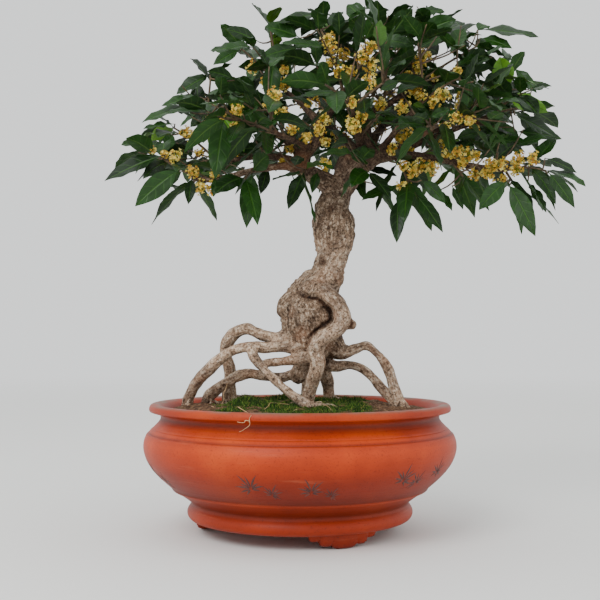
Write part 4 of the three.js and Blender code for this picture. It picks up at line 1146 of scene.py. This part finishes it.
def is_clear(leaf, owner, air):
    """Whether no place on a leaf comes nearer than the air to a taken place. Near its own twig the
    first rows may."""
    taken = room[:room_count]
    centre = leaf_frame(leaf, 0.5)[0]
    near = np.flatnonzero(((taken[:, :3] - centre) ** 2).sum(1) < (leaf[3] + taken[:, 3]) ** 2)
    gap = np.linalg.norm(leaf_places(leaf)[:, None] - taken[near, :3], axis=2) - taken[near, 3]
    own = (room_owner[near] == owners.get(owner, 0)) & (row_number < OWN_ROWS)[:, None]
    return bool(((gap > air) | own).all())


def hold_leaf(leaf, owner, radius):
    """Takes the places of a leaf, its first rows for its own twig."""
    places = leaf_places(leaf)
    hold(places[row_number < OWN_ROWS], radius, owner)
    hold(places[row_number >= OWN_ROWS], radius, "leaf")


def grow_leaves(owner, points, pairs, lengths=(54, 70), droops=(0.15, 0.62), roll_most=1, air=3.5,
                angles=(64, 34), fits=None):
    """The leaves of a twig, in opposite pairs. Each is turned round the twig until it is clear of what
    is there, and left out if it never is."""
    leaves = []
    for pair in range(pairs):
        place = pair / (pairs - 1) if pairs > 1 else 1
        share = FIRST_PAIR + (LAST_PAIR - FIRST_PAIR) * place
        along = direction_of(points, share)
        level = unit(np.cross(along, UP))
        over = np.cross(level, along)
        lean = np.radians(angles[0] + (angles[1] - angles[0]) * place + LEAN_PLAY * (draw() - 0.5))
        tilt = (PAIR_TILT if pair % 2 else -PAIR_TILT) + TILT_PLAY * (draw() - 0.5)
        for half in (0, 180):
            length = lengths[0] + (lengths[1] - lengths[0]) * draw()
            droop = droops[0] + (droops[1] - droops[0]) * draw()
            roll = roll_most * (2 * draw() - 1)
            for turn in TRY_TURNS:
                angle = np.radians(tilt + half + turn)
                aside = level * np.cos(angle) + over * np.sin(angle)
                out = unit(along * np.cos(lean) + aside * np.sin(lean))
                flat = unit(np.cross(out, UP))
                across = flat * np.cos(roll) + np.cross(flat, out) * np.sin(roll)
                leaf = (path_of(points, share), out, across, length, droop)
                if (fits is None or fits(leaf)) and is_clear(leaf, owner, air):
                    hold_leaf(leaf, owner, air)
                    leaves.append(leaf)
                    break
    return leaves


def heads_of(carrier, start, side, count):
    """The middles of a bunch's heads: beside the wood, a step apart along it, and straight on past
    its end."""
    points = carriers[carrier]
    long = length_of(points)
    heads = []
    for i in range(count):
        share = start + i * HEAD_STEP / long
        along = direction_of(points, min(share, 1))
        out = np.array(SIDES[side], float)
        out = unit(out - along * (out @ along))
        wood = path_of(points, share) + along * max(share - 1, 0) * long
        heads.append(wood + out * (radius_of(points, share) + HEAD_RADIUS))
    return np.array(heads)


HOLD_STEP, HOLD_AIR = 7, 2
for owner, points in carriers.items():
    steps = int(np.ceil(length_of(points) / HOLD_STEP))
    shares = np.arange(steps + 1) / steps
    hold(path_of(points, shares), radius_of(points, shares) + HOLD_AIR, owner)
bunches = [heads_of(*bunch) for bunch in BUNCHES]
for heads in bunches:
    hold(heads, HEAD_RADIUS, "flowers")
sprays = {stem: [] for stem in STEMS}
for stem, owner, pairs, points in twigs:
    sprays[stem] += grow_leaves(owner, points, pairs)

# More bunches sit on the wood all over the crown. Those of the side that is seen stand where they
# show in the picture, on the wood that is nearest to that line of sight.
FLOWERS_SEEN = [                # picture point and radius
    (330, 63, 6), (345, 60, 8), (340, 72, 8), (352, 72, 6), (375, 68, 9), (368, 80, 7), (300, 68, 6),
    (290, 80, 6), (247, 70, 5), (255, 90, 6), (238, 103, 7), (270, 106, 8), (283, 114, 8),
    (308, 104, 5), (297, 131, 8), (306, 138, 7), (293, 149, 6), (322, 123, 6), (325, 141, 6),
    (340, 146, 7), (320, 162, 7), (282, 160, 5), (353, 104, 7), (360, 116, 8), (380, 101, 7),
    (413, 90, 8), (421, 95, 6), (405, 75, 6), (435, 77, 6), (458, 71, 5), (407, 110, 6),
    (433, 106, 7), (467, 99, 5), (456, 118, 7), (470, 120, 6), (474, 129, 6), (445, 127, 6),
    (405, 141, 7), (395, 150, 7), (410, 150, 5), (447, 143, 6), (448, 154, 7), (466, 153, 6),
    (478, 149, 7), (403, 166, 7), (413, 172, 7), (424, 173, 6), (402, 187, 7), (407, 194, 5),
    (475, 174, 7), (489, 174, 8), (502, 172, 8), (516, 169, 7), (500, 180, 5), (463, 164, 6),
    (222, 116, 4), (215, 126, 5), (234, 135, 5), (234, 145, 4), (184, 137, 5), (199, 142, 5),
    (198, 154, 5), (172, 157, 6), (192, 173, 7), (214, 174, 5), (152, 150, 4), (168, 148, 4),
]
BUNCHES_BEHIND = [
    ("back_left", 0.5, "back", 2), ("back_right", 0.6, "back", 2),
    ("back_right_high", 0.6, "back", 2), ("left_back", 0.6, "back", 1),
    ("back_low/0", 0.4, "above", 1), ("back_right/0", 0.4, "above", 1),
    ("back_right_high/1", 0.4, "back", 2), ("back_left/0", 0.5, "back", 2),
    ("left_back/0", 0.4, "above", 1), ("riser/0", 0.6, "back", 1), ("left_riser", 0.6, "back", 1),
    ("back_left/1", 0.3, "above", 1),
]
POINT = 1.53                    # mm that a picture point spans at the depth of the trunk
WOOD_STEP = 5
APART_SEEN = 8                  # picture points between two bunches
HELD = 0.8                      # of a head's radius: how far leaves keep off these bunches
CROWN_FOOT = 520
all_wood = [stepped(points, WOOD_STEP) for points in carriers.values()]
wood_places, wood_radii = (np.concatenate(part) for part in zip(*all_wood))
high = wood_places[:, 2] > CROWN_FOOT
wood_places, wood_radii = wood_places[high], wood_radii[high]
wood_across, wood_down = picture_of(wood_places)


def wood_behind(across, down):
    """The number of the wood place that shows nearest to a picture point. The farther side counts
    as a little farther off."""
    deeper = np.clip(wood_places[:, 1] + 60, 0, None)
    return (np.hypot(wood_across - across, wood_down - down) + 0.05 * deeper).argmin()


heads_across, heads_down = picture_of(np.concatenate(bunches))
seen_heads, seen_sizes = [], []
for across, down, radius in FLOWERS_SEEN:
    if np.hypot(heads_across - across, heads_down - down).min() < APART_SEEN:
        continue
    wood = wood_behind(across, down)
    size = radius * POINT
    off = seen_at(across, down, wood_places[wood, 1] - 0.5 * size) - wood_places[wood]
    far = np.linalg.norm(off)
    kept_near = np.clip(far, wood_radii[wood] + 0.6 * size, wood_radii[wood] + size)
    seen_heads.append(wood_places[wood] + off / far * kept_near)
    seen_sizes.append(size)
heads_behind = [heads_of(*bunch) for bunch in BUNCHES_BEHIND]
hold(np.array(seen_heads), np.array(seen_sizes) * HELD, "flowers")
hold(np.concatenate(heads_behind), HEAD_RADIUS * HELD, "flowers")
heads_seen = np.concatenate([*bunches, seen_heads])
heads_seen = heads_seen[heads_seen[:, 1] < 20]      # the others stand behind the crown's middle
heads_across, heads_down = picture_of(heads_seen)

OVER = np.array([14, 12, 14])   # how far leaves may reach past the solids, on any side
FLOWERS_FREE = 7                # picture points round a head that no leaf in front of it covers
KEPT_INSIDE = (17, 35, 37, 39)  # a leaf's middle and the two edges and middle of its tip
MOST_IN_GAPS = 2
GAPS = [                        # where the crown is open: picture point, half wide, half high
    (307, 53, 5, 5), (367, 53, 5, 8), (315, 75, 13, 4), (325, 87, 20, 3), (380, 84, 20, 9),
    (362, 91, 8, 6), (390, 94, 10, 4), (287, 95, 12, 4), (297, 114, 10, 10), (317, 105, 11, 8),
    (382, 133, 12, 10), (437, 54, 12, 9), (450, 62, 9, 8), (482, 73, 8, 8), (485, 44, 18, 5),
    (459, 134, 9, 6), (419, 152, 7, 3), (440, 176, 10, 9), (382, 166, 16, 6), (380, 179, 13, 6),
    (357, 190, 6, 8), (257, 30, 8, 9), (265, 44, 5, 6), (485, 163, 14, 4), (460, 174, 12, 4),
    (252, 165, 8, 4), (292, 177, 16, 8), (283, 138, 6, 4), (232, 59, 6, 4), (210, 88, 7, 6),
    (187, 91, 6, 3), (168, 119, 18, 5), (245, 139, 11, 4), (240, 72, 4, 5), (263, 88, 4, 4),
    (524, 115, 8, 4), (520, 127, 20, 5), (150, 172, 12, 5), (508, 205, 6, 14), (470, 200, 8, 10),
    (515, 40, 12, 6), (228, 192, 10, 8), (170, 198, 10, 6), (380, 215, 12, 12), (340, 195, 16, 10),
    (420, 195, 8, 6),
]
gap_across, gap_down, gap_wide, gap_high = np.array(GAPS, float).T

CROWN = [                       # the crown's outline as it shows in the picture
    (107, 178), (124, 156), (122, 145), (138, 134), (160, 130), (145, 124), (163, 111), (163, 103),
    (180, 94), (180, 86), (200, 70), (215, 65), (218, 55), (231, 45), (225, 28), (250, 33),
    (260, 42), (268, 36), (262, 24), (279, 23), (281, 17), (300, 11), (350, 6), (372, -6), (400, 6),
    (428, 4), (445, 12), (459, 16), (490, 23), (538, 37), (506, 46), (519, 66), (532, 76), (552, 88),
    (530, 98), (544, 110), (543, 122), (561, 139), (548, 156), (573, 170), (560, 178), (571, 203),
    (550, 190), (543, 206), (530, 228), (512, 212), (483, 207), (460, 206), (438, 227), (420, 212),
    (397, 235), (390, 206), (363, 202), (350, 188), (340, 168), (313, 186), (300, 166), (262, 190),
    (240, 176), (214, 194), (189, 200), (165, 188), (142, 203), (138, 184), (125, 178),
]


def in_crown(across, down):
    """Whether a point of the picture lies inside the crown's outline: a line from it to the right
    crosses the outline an odd number of times."""
    line = np.array(CROWN, float)
    ahead = np.roll(line, -1, axis=0)
    astride = (line[:, 1] > down) != (ahead[:, 1] > down)
    run = (ahead[:, 1] - line[:, 1]) + (ahead[:, 1] == line[:, 1])
    crossing = line[:, 0] + (down - line[:, 1]) / run * (ahead[:, 0] - line[:, 0])
    return (astride & (across < crossing)).sum() % 2 == 1


def in_box(places):
    """Whether places stay within the room that the solids take, or just outside it."""
    low, high = (np.array(corner) * 1000 - AXIS * 1000 for corner in cad_box)
    return bool(((places > low - OVER) & (places < high + OVER)).all())


def fits_crown(leaf):
    """Whether a leaf's tip and middle stay inside the crown as it is seen, out of its gaps, and
    nothing of it covers the flowers behind it."""
    places = leaf_places(leaf)
    across, down = picture_of(places)
    if not in_box(places) or not all(in_crown(across[i], down[i]) for i in KEPT_INSIDE):
        return False
    across, down = across[:, None], down[:, None]
    in_gap = ((across - gap_across) / gap_wide) ** 2 + ((down - gap_down) / gap_high) ** 2 < 1
    if in_gap.sum() > MOST_IN_GAPS:
        return False
    over = np.hypot(across - heads_across, down - heads_down) < FLOWERS_FREE
    return not (over & (places[:, 1, None] < heads_seen[:, 1])).any()


# Leaves that stand out in the picture, from foot to tip, with how wide they show there. Each hangs
# at the depth of the wood nearest to it, and a shoot joins it to that wood.
LEAVES_SEEN = [
    (165, 155, 109, 180, 14), (150, 140, 122, 145, 9), (190, 105, 145, 122, 9),
    (175, 124, 144, 129, 5), (200, 97, 163, 106, 9), (210, 75, 180, 93, 12), (240, 50, 216, 64, 12),
    (259, 42, 223, 27, 14), (300, 38, 262, 25, 14), (322, 14, 279, 23, 9), (180, 170, 141, 203, 22),
    (192, 178, 189, 200, 18), (216, 178, 214, 194, 14), (268, 168, 262, 190, 26),
    (318, 172, 313, 190, 14), (375, 12, 363, -5, 10), (415, 12, 445, 12, 9), (420, 35, 460, 17, 20),
    (478, 30, 538, 37, 9), (480, 38, 510, 48, 10), (507, 93, 498, 47, 26), (514, 68, 533, 90, 13),
    (532, 88, 552, 86, 5), (505, 97, 545, 112, 16), (515, 115, 553, 137, 10),
    (515, 132, 561, 139, 14), (545, 158, 574, 172, 9), (548, 172, 570, 203, 14),
    (508, 183, 530, 228, 24), (528, 182, 543, 208, 8), (507, 181, 483, 207, 20),
    (452, 186, 461, 206, 8), (440, 190, 450, 208, 7), (415, 193, 438, 227, 13),
    (422, 180, 442, 201, 15), (398, 198, 397, 235, 18), (400, 186, 364, 200, 10),
    (362, 169, 396, 176, 7), (352, 165, 362, 194, 14), (350, 81, 303, 82, 6), (340, 93, 303, 96, 7),
    (224, 117, 217, 168, 24), (258, 116, 238, 134, 16), (274, 60, 270, 96, 20),
    (492, 58, 456, 66, 13), (470, 76, 468, 116, 20), (400, 82, 382, 90, 9), (352, 92, 372, 122, 8),
    (262, 148, 232, 152, 12), (455, 140, 482, 132, 12), (498, 152, 480, 158, 8),
    (205, 95, 240, 100, 12), (330, 25, 362, 32, 12), (300, 48, 262, 58, 14), (380, 40, 412, 46, 12),
    (448, 36, 420, 48, 12), (330, 118, 345, 104, 8), (395, 108, 378, 118, 10),
    (430, 118, 452, 108, 10), (235, 80, 205, 70, 14),
]
BRIGHT_LEAVES = [20, 23]        # the ones given the lightest green
SEEN_DROOP, SEEN_AIR = 0.22, 1.5
SHOOT_RADII = 1.9, 1.5, 1.1
DEEPER_TRIED = (0, -12, 12, -26, 26, -42, 42, -60)
TIP_NEARER = 12
shoots, seen_leaves, seen_tones = [], [], []
for number, (foot_across, foot_down, tip_across, tip_down, wide) in enumerate(LEAVES_SEEN):
    wood = wood_places[wood_behind(foot_across, foot_down)]
    for deeper in DEEPER_TRIED:
        root = seen_at(foot_across, foot_down, wood[1] + deeper)
        tip = seen_at(tip_across, tip_down, wood[1] + deeper - TIP_NEARER)
        length = np.linalg.norm(tip - root)
        out = unit((tip - root) / length + UP * SEEN_DROOP)
        sight = unit(root - EYE)
        aside = unit(np.cross(out, sight))
        behind = np.cross(aside, out)
        showing = np.clip(wide * POINT / (LEAF_WIDTH * length), 0.12, 1)
        turns = [one * showing * aside + other * np.sqrt(1 - showing ** 2) * behind
                 for one in (1, -1) for other in (1, -1)]
        across = max(turns, key=lambda turn: np.cross(turn, out) @ (0.8 * UP - sight))
        leaf = (root, out, across, length, SEEN_DROOP)
        if in_box(leaf_places(leaf)) and is_clear(leaf, "seen", SEEN_AIR):
            hold_leaf(leaf, "seen", SEEN_AIR)
            seen_leaves.append(leaf)
            own_tone = number * 0.37 % 0.8
            seen_tones.append(1 if number in BRIGHT_LEAVES else own_tone)
            bend = wood * 0.45 + root * 0.55 - UP * 3
            shoots.append([[*place, thick] for place, thick in zip((wood, bend, root), SHOOT_RADII)])
            break

# Shoots: short young twigs off the branches and the leafy stems, pointing out of the crown, which
# fill it with more leaves.
CROWN_MIDDLE = np.array([70, 0, 560])
ROUNDS = 5
SHOOT_STEP, SHOOT_APART = 21, 25
SHOOT_LONG, SHOOT_SHORT = (30, 78), 50      # the shorter ones bear two pairs, the others three
BARE_LIMB, BARE_TWIG = 0.3, 0.15            # no shoot stands before this share of its carrier
SHOOT_LEAVES = {"lengths": (42, 70), "droops": (0.05, 0.55), "roll_most": 0.8, "air": 1.5,
                "angles": (66, 24), "fits": fits_crown}
grower = np.random.default_rng(31)
shoot_ends = [path_of(points, 1) for _, _, _, points in twigs]
more_leaves = []
bearing = [name for name, points in carriers.items() if points[-1][2] > 515 and name != "trunk"]
for name in bearing * ROUNDS:
    points = carriers[name]
    count = max(1, int(length_of(points) / SHOOT_STEP))
    for i in range(count):
        share = np.clip((i + grower.random()) / count, BARE_TWIG if "/" in name else BARE_LIMB, 1)
        base = path_of(points, share)
        out = unit(base - CROWN_MIDDLE)
        heading = unit(0.75 * out + 0.85 * grower.normal(0, 0.6, 3) + 0.18 * UP)
        long = grower.uniform(*SHOOT_LONG)
        end = base + heading * long
        bent = base + heading * long * 0.5 + grower.normal(0, 2.5, 3) - UP * 2
        if end[2] < CROWN_FOOT or not in_crown(*picture_of(end)):
            continue
        if np.linalg.norm(np.array(shoot_ends) - end, axis=1).min() < SHOOT_APART:
            continue
        twig = [[*place, thick] for place, thick in zip((base, bent, end), SHOOT_RADII)]
        owner = f"shoot_{len(shoots)}"
        grown = grow_leaves(owner, twig, 2 if long < SHOOT_SHORT else 3, **SHOOT_LEAVES)
        if len(grown) < 2:
            continue
        shares = np.linspace(0, 1, 6)
        hold(path_of(twig, shares), radius_of(twig, shares) + 1, owner)
        shoot_ends.append(end)
        shoots.append(twig)
        more_leaves += grown

# Blades: each leaf is a thin closed skin with a stalk, dark above and paler below, its rib and side
# veins pressed in. The leaves of a stem and the twigs that bear them are one piece.
LEAF_STATIONS = np.array([0, 0.09, 0.17, 0.28, 0.4, 0.52, 0.64, 0.76, 0.88, 1])
BLADE_FROM = 0.09               # the stalk ends and the blade begins
PARTS = np.array([-1, -0.5, 0, 0.5, 1])
LEAF_PLAY = (0.06, 0.3), (0.7, 2.4), (13, 21), (0, 6)   # fold; waves: deep in mm, how often, start
VEIN_SLANT, VEIN_PAIRS = 0.16, 11


def leaf_mesh(leaves, lots, tones=None):
    """Leaves as closed thin blades: at each station five points over the top, from edge to edge, and
    one under the rib. The width follows a sine of the share, the halves rise from the rib, and the
    edges wave."""
    count, rows, share = len(leaves), len(LEAF_STATIONS), LEAF_STATIONS
    stacked = [np.array(part).reshape(count, 1, -1) for part in zip(*leaves)]
    middle, side, upper = leaf_frame(stacked, share)
    blade = np.clip((share - BLADE_FROM) / (1 - BLADE_FROM), 0, 1)
    half = 0.5 * LEAF_WIDTH * stacked[3][..., 0] * np.sin(np.pi * blade ** 0.88).clip(0) ** 0.85
    half = half * lots.uniform(0.86, 1.06, (count, 1))
    half = np.maximum(half, np.where(share < 0.95, 0.8, 0.15))[..., None]
    fold, deep, often, start = (lots.uniform(low, high, (count, 1, 1)) for low, high in LEAF_PLAY)
    wave = deep * np.sin(share[:, None] * often + start + 1.3 * np.sign(PARTS))
    lift = half * (fold * np.abs(PARTS) + 0.1 * (np.abs(PARTS) == 0.5) - 0.12)
    lift = lift + wave * PARTS ** 2 * (half > 2)
    wide = (half * PARTS)[..., None]
    top = middle[:, :, None] + side[:, :, None] * wide + upper[:, :, None] * lift[..., None]
    under = middle + upper * (-0.12 * half - 0.55)
    places = np.concatenate([top, under[:, :, None]], 2)
    below = np.tile(np.arange(6) >= 4, rows - 1)
    ends = np.array([[0, 5, 1], [1, 5, 2], [2, 5, 3], [3, 5, 4]])
    skin = grid_faces(rows, 6, closed_columns=True)
    faces = np.concatenate([skin, ends, ends[:, ::-1] + (rows - 1) * 6])
    below = np.concatenate([below, below, np.ones(8, bool)])
    uv = np.zeros((rows, 6, 2))
    uv[..., 0] = share[:, None]
    uv[..., 1] = [0, 0.25, 0.5, 0.75, 1, 0.5]
    rim = np.tile([True, False, False, False, True, False], rows)
    tone = np.repeat(lots.random(count) if tones is None else tones, rows * 6)
    return (places.reshape(-1, 3), repeated(faces, count, rows * 6), np.tile(below, count),
            np.tile(uv.reshape(-1, 2), (count, 1)), tone, np.tile(rim, count))


def leaf_finish(name, deep, plain, bright, vein, roughness, gloss):
    """Leaf skin: three greens by each leaf's own tone, clouded along the blade, with a rib down its
    middle and side veins that run forward to the edge, sunk a little."""
    material, tree, shader = new_finish(
        name, Roughness=roughness, Specular_IOR_Level=0.28, Coat_Weight=gloss, Coat_Roughness=0.22)
    flat = node(tree, "SeparateXYZ", {0: node(tree, "UVMap").outputs["UV"]}).outputs
    out = maths(tree, "ABSOLUTE", span(tree, flat["Y"], 0, 1, -1, 1))
    run = maths(tree, "ADD", flat["X"], maths(tree, "MULTIPLY", out, -VEIN_SLANT))
    saw = maths(tree, "PINGPONG", maths(tree, "MULTIPLY", run, VEIN_PAIRS), 1)
    faint = maths(tree, "MULTIPLY", span(tree, saw, 0, 0.22, 1, 0), 0.4)
    veins = maths(tree, "MAXIMUM", span(tree, out, 0.03, 0.12, 1, 0), faint)
    green = ramp(tree, carried(tree, "tone"), (0, *deep), (0.6, *plain), (0.93, *plain), (1, *bright))
    green = tinted(tree, green, 1, noise(tree, place_in(tree), 70),
                   (0.3, 190, 196, 180), (0.7, 255, 255, 255))
    colour = blend(tree, maths(tree, "MULTIPLY", veins, 0.55), green, paint(*vein))
    tree.links.new(colour, shader.inputs["Base Color"])
    raised = maths(tree, "SUBTRACT", 1, veins)
    tree.links.new(bump(tree, raised, 0.0009, 0.7), shader.inputs["Normal"])
    return material


leaf_top = leaf_finish(
    "glossy_leaf", (11, 37, 3), (25, 65, 6), (84, 132, 16), (56, 98, 20), 0.45, 0.05)
leaf_under = leaf_finish(
    "leaf_underside", (16, 46, 8), (32, 72, 14), (90, 132, 30), (76, 110, 38), 0.6, 0)
twig_bark, tree, shader = new_finish("young_twig", Roughness=0.7)
clouds = noise(tree, place_in(tree), 150, 3)
colour = ramp(tree, clouds, (0.3, 54, 42, 31), (0.55, 88, 70, 48), (0.75, 116, 98, 66))
tree.links.new(colour, shader.inputs["Base Color"])


TWIG_STEP, TWIG_SIDES = 8, 6
TWIG_THIN = 0.8                 # of the radius that leaves and flowers keep clear of


def leafy_piece(name, twig_lines, leaves, lots, stands_for=(), tones=None):
    """Twigs and their leaves as one piece."""
    twig_skins = [limb_skin(points, TWIG_STEP, TWIG_SIDES, TWIG_THIN) for points in twig_lines]
    twig_places, twig_faces = join(*twig_skins)
    blade_places, blade_faces, below, uv, tone, rim = leaf_mesh(leaves, lots, tones)
    places, faces = join((twig_places, twig_faces), (blade_places, blade_faces))
    start = len(twig_places)
    new_piece(name, places, faces, "leaf", [leaf_top, leaf_under, twig_bark], stands_for,
              which=np.concatenate([np.full(len(twig_faces), 2), below.astype(int)]),
              uv=np.concatenate([np.zeros((start, 2)), uv]),
              values={"tone": np.concatenate([np.zeros(start), tone])},
              edges=np.concatenate([np.zeros(start, bool), rim]))


lots = np.random.default_rng(11)
for stem in STEMS:
    lines = [points for name, _, _, points in twigs if name == stem]
    leafy_piece(f"foliage_{stem}", lines, sprays[stem], lots, [f"leaves_{stem}"])
leafy_piece("hanging_leaves", shoots[:len(seen_leaves)], seen_leaves, lots, tones=seen_tones)
leafy_piece("young_shoots", shoots[len(seen_leaves):], more_leaves, lots)


# Flowers: small waxy florets of four round petals, packed in bunches that sit close on the wood.
FLORETS = 34                    # in a head
PETAL, PEDICEL = 3, 0.4
GOLDEN_ANGLE = 2.39996
FLORETS_FROM, FLORETS_TO = 4.4, 12.8    # how far out they stand in a head of the usual size
PETAL_EDGE = [                  # degrees from a petal's middle, reach and lift of its outline
    (-45, 0.34, -0.05), (-27, 0.86, 0.3), (0, 1, 0.22), (27, 0.86, 0.3),
]


def bunch_mesh(heads, lots, sizes):
    """Florets spread evenly over each head by the golden angle, each facing out: a star of four
    petals round a sunk middle, closed to a point below, and a thin stalk to the head's middle."""
    count = len(heads) * FLORETS
    size = np.repeat(sizes, FLORETS)[:, None] / HEAD_RADIUS
    number = np.tile(np.arange(FLORETS), len(heads)) + lots.uniform(-0.25, 0.25, count)
    z = 1 - 2 * (number + 0.5) / FLORETS
    turn = number * GOLDEN_ANGLE + np.repeat(lots.random(len(heads)) * 6, FLORETS)
    ring = np.sqrt(np.clip(1 - z * z, 0, 1))
    out = np.stack([ring * np.cos(turn), ring * np.sin(turn), z], -1)
    out = unit(out + lots.normal(0, 0.16, (count, 3)))
    middle = np.repeat(heads, FLORETS, axis=0)
    at = middle + out * lots.uniform(FLORETS_FROM, FLORETS_TO, (count, 1)) * size
    side = unit(np.cross(out, unit(lots.normal(0, 1, (count, 3)))))
    up = np.cross(out, side)
    out, side, up, at, middle = (part[:, None] for part in (out, side, up, at, middle))
    degrees, reach, lift = np.tile(np.transpose(PETAL_EDGE), 4)
    angle = np.radians(degrees + np.repeat(np.arange(4) * 90, 4))
    aside, above = (reach * np.cos(angle))[:, None], (reach * np.sin(angle))[:, None]
    big = PETAL * np.sqrt(size)[..., None] * lots.uniform(0.8, 1.12, (count, 1, 1))
    raised = (lift * lots.uniform(0.2, 2.2, (count, 1)))[..., None]
    outline = at + big * (side * aside + up * above + out * raised)
    stalk_turn = (np.array([0, 2, 4]) * np.pi / 3)[:, None]
    ring = PEDICEL * (side * np.cos(stalk_turn) + up * np.sin(stalk_turn))
    top, low, stalk_top = at - out * 0.3, at - out * 2.2, at - out * 1.2 + ring
    places = np.concatenate([outline, top, low, stalk_top, middle + ring], 1)
    edge = np.arange(16)
    ahead = (edge + 1) % 16
    stalk = [[18, 21, 19], [19, 21, 22], [19, 22, 20], [20, 22, 23], [20, 23, 18], [18, 23, 21],
             [18, 19, 20], [21, 23, 22]]
    upper = np.column_stack([np.full(16, 16), edge, ahead])
    faces = np.concatenate([upper, upper[:, [0, 2, 1]] + [1, 0, 0], stalk])
    heart = np.concatenate([np.ones(16), [0, 0.6], np.full(6, 2.0)])
    tone = np.repeat(lots.random(count), 24)
    return places.reshape(-1, 3), repeated(faces, count, 24), np.tile(heart, count), tone


petals, tree, shader = new_finish(
    "yellow_petals", Roughness=0.5, Subsurface_Weight=0.15, Subsurface_Scale=0.004)
yellow = ramp(tree, carried(tree, "tone"), (0, 166, 122, 26), (0.3, 206, 172, 62), (0.7, 228, 208, 98),
              (1, 244, 236, 164))
half_heart = maths(tree, "MULTIPLY", carried(tree, "heart"), 0.5)
colour = tinted(tree, yellow, 1, half_heart, (0, 236, 186, 90), (0.2, 250, 228, 150),
                (0.5, 255, 255, 255), (0.56, 255, 255, 255), (1, 150, 170, 80))
tree.links.new(colour, shader.inputs["Base Color"])


def flower_piece(name, heads, lots, stands_for=(), sizes=HEAD_RADIUS):
    """A bunch of one or more heads as one piece."""
    places, faces, heart, tone = bunch_mesh(heads, lots, np.broadcast_to(sizes, len(heads)))
    values = {"tone": tone, "heart": heart}
    new_piece(name, places, faces, "flower", [petals], stands_for, values=values, smooth=False)


lots = np.random.default_rng(5)
for number, heads in enumerate(bunches, 1):
    stand_in = f"flowers_{number:02d}"
    low, high = (np.array(corner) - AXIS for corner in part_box(stand_in))
    heads = heads + (low + high) * 500 - (heads.max(0) + heads.min(0)) / 2
    flower_piece(f"bunch_{number:02d}", heads, lots, [stand_in])
for number, heads in enumerate(heads_behind, len(bunches) + 1):
    flower_piece(f"bunch_{number:02d}", heads, lots)
flower_piece("front_bunches", np.array(seen_heads), lots, sizes=seen_sizes)

boxes = {"cad": cad_box, "visual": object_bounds()}
boxes = {name: [list(corner) for corner in box] for name, box in boxes.items()}
